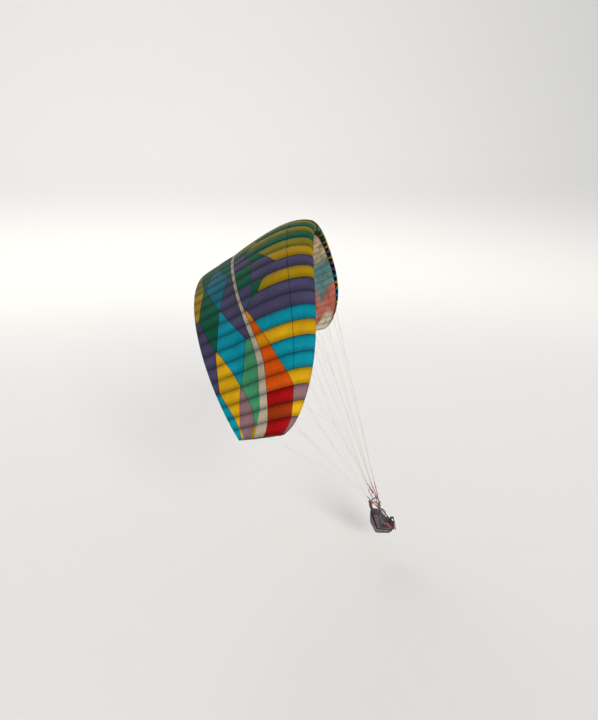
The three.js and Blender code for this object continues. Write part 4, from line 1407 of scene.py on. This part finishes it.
def back_cushion():
    heap = Heap(on_harness)
    # Levels up the back rest: height, half width and thickness.
    levels = [(0.004, 0.144, 0.016), (0.022, 0.160, 0.028), (0.270, 0.153, 0.028), (0.556, 0.121, 0.028),
              (0.592, 0.096, 0.018)]
    rings = []
    for along, half, thick in levels:
        row = [(0.004, 0.014 - half), (0.004, half - 0.014), (0.004 + thick * 0.4, half),
               (0.004 + thick, half - 0.010), (0.004 + thick, 0.010 - half), (0.004 + thick * 0.4, -half)]
        rings.append([back_place(along, out, y) for out, y in row])
    join_rings(heap, rings)
    cushion = heap.object("back_cushion", [SHELL])
    stuffed(cushion, VOXEL, CUSHION_PRESSURE, 0.0056)
    for along in BACK_SEAMS:
        channel(cushion, back_place(along, 0), BACK_UP, -BACK_OUT, 0.008, 0.0055)
    for y in (-0.055, 0.055):
        channel(cushion, [0, y, 0], Y, -BACK_OUT, 0.007, 0.004)
    paint(cushion, [SHELL, AIR_MESH], lambda at, way: (way @ -BACK_OUT > 0.5) & (np.abs(at[:, 1]) < 0.108))
    surface = padding(cushion, "back_rest")
    trim = Heap()
    rim = [(0.008, 0.144), (0.022, 0.164), (0.270, 0.157), (0.556, 0.125), (0.594, 0.098)]
    for out, inset, cord, pick in ((0.010, 0.0, TRIM_CORD, 1), (BACK_THICK, 0.008, 0.0018, 2)):
        outline = [back_place(along, out, half - inset) for along, half in rim]
        outline += [back_place(along, out, inset - half) for along, half in rim[::-1]]
        piping(trim, surface, outline, cord, pick)
    for along in beside(BACK_SEAMS):
        half = float(np.interp(along, [0.022, 0.270, 0.556], [0.140, 0.134, 0.104]))
        stitches(trim, surface, back_place(along, 0, -half), back_place(along, 0, half))
    for y in (-0.055, 0.055):
        stitches(trim, surface, back_place(0.03, 0, y), back_place(0.56, 0, y))
    dress(trim.object("back_trim", [THREAD, SHELL_RED, SHELL]), "harness", "harness_shell")


def carry_loop():
    """The handling loop at the back rest's top."""
    heap = Heap(on_harness)
    crest = back_place(0.596, 0.014)
    route = [(-0.034, -0.010), (-0.032, 0.006), (-0.020, 0.020), (0, 0.025), (0.020, 0.020), (0.032, 0.006),
             (0.034, -0.010)]
    loop = [crest + Y * y + BACK_UP * z - BACK_OUT * 0.002 for y, z in route]
    band(heap, catmull(loop, 22), (0.018, 0.0022, BACK_OUT))
    dress(heap.object("carry_loop", [WEB]), "harness", "webbing")


def protector_outline():
    """The protector's side view, as the part has it: under the seat and up behind the back."""
    behind = BACK_THICK + 3 * JOIN
    wall = lambda height: back_place((height - back_place(0, behind)[2]) / math.cos(BACK_LEAN), behind)[0]
    under, low, crown = SEAT_LOW - JOIN, SEAT_LOW - JOIN - 0.125, SEAT_TOP + 0.300
    return np.array([
        (SEAT_FRONT - 0.040, under), (SEAT_BACK - 0.014, under), (wall(under + 0.060), under + 0.060),
        (wall(crown), crown), (wall(crown) - 0.045, crown - 0.008),
        (wall(under + 0.200) - 0.095, under + 0.150), (SEAT_BACK - 0.089, low + 0.060),
        (SEAT_BACK - 0.060, low + 0.008), (SEAT_BACK + 0.060, low), (SEAT_FRONT - 0.130, low + 0.012),
        (SEAT_FRONT - 0.040, under - 0.042),
    ])


def protector_pack():
    half, outline = PROTECTOR_HALF, protector_outline()
    heap = Heap(on_harness)
    levels = [(0.022, -half + 0.008), (0.010, -half + 0.022), (0.007, 0.0), (0.010, half - 0.022),
              (0.022, half - 0.008)]
    join_rings(heap, [[[x, y, z] for x, z in shrunk(outline, inset)] for inset, y in levels])
    foam = heap.object("protector_foam", [SHELL])
    stuffed(foam, FOAM_VOXEL, FOAM_PRESSURE, 0.0068)
    for z in FOAM_REAR_SEAMS:
        channel(foam, [0, 0, z], Z, -X, 0.010, 0.006)
    for x in FOAM_LOW_SEAMS:
        channel(foam, [x, 0, 0], X, -Z, 0.010, 0.006)
    # Grey sides, and a red stripe across the rear between the two upper seams.
    low, high = FOAM_REAR_SEAMS[1:]
    paint(foam, [SHELL, SHELL_GREY, SHELL_RED], lambda at, way: np.where(
        np.abs(way[:, 1]) > 0.72, 1,
        np.where((at[:, 2] > low) & (at[:, 2] < high) & (way[:, 0] < -0.3), 2, 0)))
    surface = padding(foam, "protector")
    protector_trim(surface, outline)
    compression_straps(surface)


def protector_trim(surface, outline):
    trim = Heap()
    for y in (0.006 - PROTECTOR_HALF, PROTECTOR_HALF - 0.006):
        piping(trim, surface, [[x, y, z] for x, z in shrunk(outline, 0.014)], 0.0024, 1)
    for z in beside(FOAM_REAR_SEAMS):
        stitches(trim, surface, [-0.20, -0.132, z], [-0.20, 0.132, z])
    for x in beside(FOAM_LOW_SEAMS):
        stitches(trim, surface, [x, -0.132, -0.62], [x, 0.132, -0.62])
    # A zip round the pack's rear pocket, with its puller.
    rear, side = -0.26, 0.112
    arch = [(-side, -0.300), (-side, -0.470), (-0.100, -0.492), (0.100, -0.492), (side, -0.470),
            (side, -0.300)]
    for shift in (-0.0022, 0.0022):
        route = [[rear, y * (1 + shift / side), z - shift * (abs(y) < 0.105)] for y, z in arch]
        tube(trim, laid_on(surface, evenly(route, 0.007), 0.0008), 0.0013, 4, 2)
    puller = laid_on(surface, [[rear, side, -0.318], [rear, side - 0.002, -0.352]], 0.0030)
    tube(trim, puller, [0.0030, 0.0020], 6, 1)
    dress(trim.object("protector_trim", [THREAD, SHELL_RED, PLASTIC]), "harness", "harness_shell")


def compression_straps(surface):
    """Two straps that run round the foam from the seat's sides."""
    heap = Heap()
    route = [(0.200, -0.500), (0.030, -0.520), (-0.090, -0.500), (-0.150, -0.420)]
    path = laid_on(surface, evenly([[x, PROTECTOR_HALF, z] for x, z in route], 0.014), 0.0013)
    band(heap, (path, ways_along(path)), (0.020, 0.0022, Z))
    ladder_lock(heap, path[9] + Y * 0.0028, (Z, X, Y), 0.024, 1)
    both_sides(heap, "pack_strap", [WEB_GREY, PLASTIC], "harness", "webbing")


def sewn_to_back(points):
    """Draws a side panel's rear edge in to the back rest's side; y is measured on the left."""
    points = np.array(points, float).reshape(-1, 3)
    up = (points[:, 2] - SEAT_TOP) / math.cos(BACK_LEAN)
    rear = SEAT_BACK - up * math.sin(BACK_LEAN)
    side = np.interp(up, [0.0, 0.27, 0.556], [0.166, 0.159, 0.128])
    share = (1 - np.clip((points[:, 0] - rear + 0.010) / 0.11, 0, 1)) ** 2
    points[:, 1] += (side - PANEL_Y) * share
    return on_harness(points)


def upright(outline, y):
    """An outline in x and z, stood up at y."""
    outline = np.asarray(outline, float)
    return np.column_stack([outline[:, 0], np.broadcast_to(y, len(outline)), outline[:, 1]])


def side_panels():
    foot, high = back_place(0, 0.010), back_place(0.330, 0.010)
    outline = rounded_corners([(0.296, -0.452), (0.296, -0.400), (0.116, -0.300), (0.006, -0.140),
                               (high[0], high[2]), (foot[0], -0.452)], 0.024)
    middle = PANEL_Y + PANEL_THICK / 2
    heap = Heap(sewn_to_back)
    # Rings from the rim in to the middle, with a slight ripple in the cloth.
    rings = []
    for share in np.linspace(0, 1, 9):
        inner = outline.mean(0) + (outline - outline.mean(0)) * (1 - share * 0.999)
        ripple = 0.0016 * math.sin(share * 5.2) + 0.0009 * np.sin(np.arange(len(outline)) * 0.7 + share * 9)
        rings.append(upright(inner, middle + ripple * min(1, share * 3)))
    front = np.array(rings)
    join_rings(heap, np.concatenate([front[::-1] - Y * SHEET_HALF, front + Y * SHEET_HALF]))
    for panel in both_sides(heap, "side_cloth", [SHELL_GREY], "harness", "harness_shell", "side_panel"):
        as_sheet(panel, 0.20, 0.40)
    for side, word in SIDES:
        trim = side_trim(outline, middle, with_handle=side < 0)
        materials = [THREAD, SHELL_RED, SHELL, PLASTIC, STEEL, WEB_RED]
        dress(trim.object(f"side_trim_{word}", materials, side), "harness", "harness_shell")


def side_trim(outline, middle, with_handle):
    """A side panel's edge tape, stitches, pocket and zip; on the right, also the rescue handle."""
    trim = Heap(sewn_to_back)
    tape = evenly(upright(outline, middle), 0.012, True)
    inward = unit(np.cross(Y, ways_along(tape, closed=True)))
    join_rings(trim, [[spot + way * 0.006 * a + Y * 0.0021 * b for a, b in circle(10)]
                      for spot, way in zip(tape, inward)], 1, endless=True)
    inset = evenly(upright(shrunk(outline, 0.010), middle + 0.0014), 0.007, True)
    for start, end in zip(inset, np.roll(inset, -1, 0)):
        tube(trim, [start, start + (end - start) * 0.6], 0.0005, 4)
    pocket = rounded_corners([(0.030, -0.420), (0.225, -0.420), (0.170, -0.345), (0.088, -0.300),
                              (0.030, -0.300)], 0.018)
    plate(trim, [0, middle + 0.0024, 0], (X, Z, Y), pocket, 0.0034, 2, 0.0015)
    zip_line = evenly(upright([(0.034, -0.318), (0.094, -0.318), (0.176, -0.362)], middle + 0.0044), 0.008)
    tube(trim, zip_line, 0.0017, 6, 3)
    tube(trim, zip_line - Z * 0.0036, 0.0013, 5, 4)
    tube(trim, [zip_line[1], zip_line[1] + np.array([-0.002, 0.003, -0.020])], [0.0022, 0.0013], 6, 1)
    if with_handle:
        grip = rounded_corners([(0.110, -0.280), (0.196, -0.336), (0.186, -0.352), (0.098, -0.296)], 0.008)
        plate(trim, [0, middle + 0.0066, 0], (X, Z, Y), grip, 0.0060, 5, 0.0022)
    return trim


def main_straps():
    heap = Heap(on_harness)
    knot, low = -RING_DROP - RING_LOW - 0.008, -RING_DROP - RING_LOW - 0.042
    inside = -RING_DROP - 0.0105
    route = [(WEB_APART, low), (WEB_APART, -0.075), (WEB_APART, -0.070), (0.0062, inside - 0.0012),
             (0, inside)]
    carabiner_loop(heap, route, (*MAIN_WEB, X))
    sewn_block(heap, (knot + low) / 2, rounded_box(0.026, 0.034, 0.003), 0.0103, 0.024, 0.019)
    foot = np.array([0, HANG_SIDE, low + 0.012])
    seat_web(heap, foot, SEAT_FRONT - 0.070)
    seat_web(heap, foot, SEAT_BACK + 0.045)
    both_sides(heap, "main_web", [WEB, THREAD, STEEL, WEB_RED], "harness", "webbing", "main_strap")


def seat_web(heap, foot, x):
    """One webbing from the sewn block down to the seat's side; the forward one has an adjuster."""
    edge, high = PANEL_Y + PANEL_THICK + JOIN + 0.002, SEAT_TOP - 0.020
    knee, end = np.array([x * 0.78, edge + 0.003, high * 0.78]), np.array([x, edge, high])
    path, along = catmull([foot, knee, end], 24)
    band(heap, (path, along), (0.025, 0.004, X))
    wide, way, out = web_axes(unit(end - knee), X)
    out = out * np.sign(out[1])
    for back, long in ((0.022, 0.030), (0.062, 0.022)):
        box_stitch(heap, end - way * back + out * 0.0024, (wide, way, out), long, 0.019)
    doubled = [end - way * t + out * 0.0034 for t in (0.004, 0.02, 0.05, 0.085)]
    band(heap, catmull(doubled, 8), (0.023, 0.0018, X))
    if x > SEAT_MID:
        middle = path[10] + out * 0.003
        ladder_lock(heap, middle, web_axes(along[10], X), 0.030, 2)
        free = [middle + along[10] * t + out * off for t, off in
                ((0.006, 0.0030), (0.045, 0.0050), (0.090, 0.0040), (0.118, 0.0060))]
        band(heap, catmull(free, 12), (0.022, 0.0018, X), pick=3)


def shoulder_straps():
    top = back_place(BACK_LONG - 0.060, -0.006)
    path, along = catmull([
        back_place(0.466, 0.004, 0.085), back_place(0.504, 0.000, 0.086), [top[0], 0.086, top[2]],
        [top[0] + 0.040, 0.090, top[2] + 0.066], [top[0] + 0.108, 0.100, top[2] + 0.088],
        [-0.040, 0.116, 0.118], [-0.016, 0.138, 0.040], [-0.014, 0.166, -0.030], [-0.008, 0.190, -0.076],
        [-0.002, 0.2008, -0.100], [0, BUCKLE_Y, -0.126], [0, BUCKLE_Y, -0.152],
    ], 72)
    last = len(path) - 1
    # The pad, quilted between cross seams, then plain webbing on to the buckle.
    count = int(len(path) * 0.62)
    step = np.arange(count)
    change = eased(step / last)
    taper = np.minimum(1, np.minimum((count - step) / 5, (step + 2) / 4))
    quilt = 1 - 0.32 * np.exp(-((gone_along(path)[:count] % 0.078 - 0.039) / 0.008) ** 2)
    wide, narrow, deep, flat = 0.048, 0.025, 0.0105, 0.0035
    width = (wide + (narrow - wide) * change) * (0.75 + 0.25 * taper)
    thick = (deep + (flat - deep) * change) * quilt * (0.5 + 0.5 * taper)
    pad = Heap(on_harness)
    sleeve(pad, path, along, change, width, thick, circle(20, 0.55, 0.7), 0.0016, 1)
    materials = [SHELL, SHELL_RED]
    for piece in both_sides(pad, "shoulder_pad", materials, "harness", "harness_padding", "shoulder_strap"):
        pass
    web = Heap(on_harness)
    band(web, (path[3:], along[3:]), (0.030, 0.0112, -Y), (*MAIN_WEB, X))
    for share, pick in ((0.70, 2), (0.93, 3)):
        i = int(share * last)
        axes = web_axes(along[i], X)
        ladder_lock(web, path[i] + axes[2] * 0.001, axes, 0.031, pick)
    i = int(0.71 * last)
    inner = unit(np.cross(X, along[i]))
    inner = -inner * np.sign(inner[1])
    tail = [path[i] + inner * off + along[i] * t for off, t in
            ((0.003, 0), (0.010, 0.030), (0.012, 0.070), (0.016, 0.105))]
    band(web, catmull(tail, 14), (0.020, 0.0018, X), pick=1)
    box_stitch(web, np.array([0, BUCKLE_Y - 0.0018, -0.140]), (X, Z, -Y), 0.018, 0.018, 4)
    materials = [WEB, WEB_GREY, PLASTIC, STEEL, THREAD]
    both_sides(web, "shoulder_web", materials, "harness", "webbing", "shoulder_strap")


def chest():
    y = 0.1992
    half = [[-0.011, y, -0.137], [0.014, y - 0.0006, -0.137], [0.064, y - 0.022, -0.138],
            [0.112, 0.100, -0.140]]
    route = [*half, [0.126, 0, -0.142], *[[x, -side, z] for x, side, z in half[::-1]]]
    heap = Heap(on_harness)
    path, along = catmull(route, 60)
    band(heap, (path, along), (*MAIN_WEB, Z))
    middle = np.array([0.127, 0, -0.142])
    # A side-release buckle: socket, springy prongs, a web bar at each end.
    axes = (Y, Z, X)
    shell = [(-0.006, -0.0195), (0.030, -0.0165), (0.030, 0.0165), (-0.006, 0.0195)]
    plate(heap, middle, axes, rounded_corners(shell, 0.005), 0.0140, 1, 0.0028)
    tongue = [(-0.034, -0.0170), (-0.016, -0.0185), (-0.016, 0.0185), (-0.034, 0.0170)]
    plate(heap, middle, axes, rounded_corners(tongue, 0.004), 0.0125, 1, 0.0025)
    for sign in (-1, 1):
        prong = [(-0.018, 0.012), (-0.006, 0.0168), (0.006, 0.0192), (0.014, 0.0176)]
        tube(heap, [middle + Y * a + Z * b * sign for a, b in prong], [0.0030, 0.0036, 0.0036, 0.0024], 8, 2)
    plate(heap, middle, axes, rounded_box(0.012, 0.022, 0.003), 0.0078, 2, 0.002)
    for sign, end in ((-1, path[0]), (1, path[-1])):
        for off in (0.026, 0.0335):
            turned(heap, middle + Y * sign * off, Z, [(-0.0150, 0.0026), (0.0150, 0.0026)], 8, 1)
        lock = int(len(path) * (0.5 + 0.33 * sign))
        ladder_lock(heap, path[lock], web_axes(along[lock], Z), 0.030, 1, 0.0018)
        inner = -Y * np.sign(end[1])
        box_stitch(heap, end + X * 0.014 + inner * 0.0022, (X, Z, inner), 0.018, 0.018, 3)
    free = middle + np.array([(0.004, 0.034, 0.0), (0.007, 0.060, -0.002), (-0.004, 0.092, -0.004),
                              (-0.012, 0.118, -0.010)])
    band(heap, catmull(free, 16), (0.023, 0.0016, Z), pick=4)
    piece = heap.object("chest_web", [WEB, PLASTIC, ALLOY_DARK, THREAD, WEB_GREY])
    dress(piece, "harness", "webbing", "chest_strap")


def leg_straps():
    ahead, outside, top = SEAT_FRONT + JOIN + 0.0025, PANEL_Y - JOIN - 0.0025, SEAT_TOP
    path, along = catmull([
        [ahead, 0.034, top - 0.017], [ahead, 0.035, top + 0.020], [ahead - 0.008, 0.044, top + 0.072],
        [ahead - 0.030, 0.066, top + 0.120], [ahead - 0.056, 0.104, top + 0.148],
        [ahead - 0.078, 0.146, top + 0.112], [ahead - 0.088, outside - 0.001, top + 0.054],
        [ahead - 0.088, outside, top + 0.026], [ahead - 0.088, outside, top + JOIN],
    ], 64)
    heap = Heap(on_harness)
    band(heap, (path, along), (*LEG_WEB, -Y), (*LEG_WEB, X))
    # The padded sleeve round the webbing's upper arch.
    first, last = 22, 50
    step = np.arange(first, last)
    end = np.minimum(1, np.minimum((step - first + 1) / 4, (last - step) / 4))
    quilt = 1 - 0.25 * np.abs(np.sin((step - first) * 0.45)) ** 8
    width, thick = 0.044 * (0.86 + 0.14 * end), (0.005 + 0.006 * end) * quilt
    pad = Heap(on_harness)
    sleeve(pad, path[first:], along[first:], eased(step / 64), width, thick, circle(18, 0.55), 0.0015, 1)
    for piece in both_sides(pad, "leg_pad", [SHELL, SHELL_RED], "harness", "harness_padding", "leg_strap"):
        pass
    # The quick buckle near the inner end: a plate that drops into a slotted frame.
    across, way, out = web_axes(along[12], -Y)
    out = out * np.sign(out[0])
    axes, centre = (across, way, out), path[12] + out * 0.003
    plate(heap, centre, axes, rounded_box(0.044, 0.030, 0.005), 0.0044, 1, 0.0014)
    plate(heap, centre + out * 0.0034, axes, rounded_box(0.030, 0.016, 0.003), 0.0028, 2, 0.0008)
    for y in (-0.012, 0.012):
        bar = centre + way * y + out * 0.0024
        tube(heap, [bar - across * 0.021, bar + across * 0.021], 0.0016, 8, 2)
    box_stitch(heap, path[0] + X * 0.0024 + Z * 0.012, (Y, Z, X), 0.020, 0.026, 3)
    box_stitch(heap, path[-1] + Z * 0.014 - Y * 0.0024, (X, Z, -Y), 0.020, 0.026, 3)
    ladder_lock(heap, path[56], web_axes(along[56], X), 0.042, 4, 0.0021)
    materials = [WEB, ALLOY, STEEL, THREAD, PLASTIC]
    both_sides(heap, "leg_web", materials, "harness", "webbing", "leg_strap")


def foot_bar():
    """The speed bar: a capped tube with wound grip tape, hung from a cord at each end."""
    heap = Heap(on_harness)
    centre = np.array([SEAT_FRONT + 0.011 + JOIN, 0, SEAT_TOP - 0.031])
    ends = [(0.139, 0.0098), (0.140, 0.0110), (0.157, 0.0110), (0.1595, 0.0104), (0.160, 0.0088)]
    turned(heap, centre, Y, [(-y, radius) for y, radius in ends[::-1]] + ends, 20, 0)
    turns, steps, wound, reach = 30, 14, 0.0100, 0.132
    t = np.linspace(0, turns * 2 * math.pi, turns * steps + 1)
    tape = np.stack([wound * np.cos(t), np.linspace(-reach, reach, len(t)), wound * np.sin(t)], -1)
    tube(heap, centre + tape, 0.0011, 4, 1)
    for sign in (-1, 1):
        hole = centre + Y * 0.149 * sign
        cord = np.array([(-0.004, 0, 0.010), (-0.010, 0.004, 0.022), (-0.030, 0.010, 0.036),
                         (-0.060, 0.0150, 0.050), (-0.090, 0.0178, 0.062)]) * [1, sign, 1]
        tube(heap, catmull(hole + cord, 20)[0], 0.0019, 7, 2)
        turned(heap, hole, -Z, [(0.0116, 0.0036), (0.0160, 0.0026)], 8, 2)
        turned(heap, hole, Z, [(0.0090, 0.0044), (0.0118, 0.0030)], 10, 3)
    piece = heap.object("foot_bar", [ALLOY_DARK, RUBBER, CORD["dark"], PLASTIC])
    dress(piece, "harness", "alloy", "speed_bar")


for make in (carabiners, seat_cushion, back_cushion, carry_loop, protector_pack, side_panels, main_straps,
             shoulder_straps, chest, leg_straps, foot_bar):
    make()


# Studio.

def sun(name, energy, angle, turn, color):
    light = bpy.data.lights.new(name, "SUN")
    light.energy = energy
    light.angle = math.radians(angle)
    light.color = color
    lamp = bpy.data.objects.new(name, light)
    lamp.rotation_euler = [math.radians(value) for value in turn]
    bpy.context.scene.collection.objects.link(lamp)


def paper_floor():
    """A round floor that curves up into a distant wall."""
    floor_z = float(HANG[2]) - FLOOR_DROP
    profile = [(0.01, 0), (10, 0), (20, 0), (30, 0), (38, 0.7), (45, 3.2), (50, 8), (53, 16), (54, 28),
               (54, 60)]
    around = circle(72)
    grid = np.array([[(out * x, out * y, floor_z + up) for x, y in around] for out, up in profile])
    number = np.arange(len(profile) * len(around)).reshape(len(profile), -1)
    after = np.roll(number, -1, 1)
    faces = np.stack([number[:-1], after[:-1], after[1:], number[1:]], -1).reshape(-1, 4).tolist()
    paper = Finish("studio_paper", (0.80, 0.80, 0.80), roughness=0.95, specular=0.1)
    rise = paper.spread(paper.axes(paper.place())[2], (floor_z, floor_z + 12), smooth=True)
    paper.set(paper.shader, Base_Color=paper.mix(rise, (0.82, 0.83, 0.84), (0.50, 0.52, 0.55)))
    floor = build("floor", grid, faces, [paper.material])
    soft = floor.modifiers.new("soft", "SUBSURF")
    soft.levels = soft.render_levels = 2
    # The round wall lets the lights outside it through.
    floor.visible_shadow = False


def studio():
    paper_floor()
    world = bpy.data.worlds.new("studio")
    bpy.context.scene.world = world
    world.use_nodes = True
    sky = world.node_tree.nodes["Background"]
    sky.inputs["Color"].default_value = (0.90, 0.95, 1.0, 1)
    sky.inputs["Strength"].default_value = 0.36
    # A broad low key from the camera's side, and a weaker light from beyond that comes through the cloth.
    sun("key", 3.65, 24, (71, 0, 24), (1.0, 0.92, 0.82))
    sun("back", 1.25, 40, (64, 0, 200), (1.0, 0.95, 0.90))

    lens = bpy.data.cameras.new("camera")
    lens.lens = CAMERA_LENS
    lens.sensor_width = 36.0
    lens.clip_end = 300
    camera = bpy.data.objects.new("camera", lens)
    camera.location = CAMERA_PLACE
    camera.rotation_euler = [math.radians(value) for value in CAMERA_TURN]
    bpy.context.scene.collection.objects.link(camera)
    bpy.context.scene.camera = camera
    bpy.context.scene.view_settings.view_transform = "Standard"


studio()
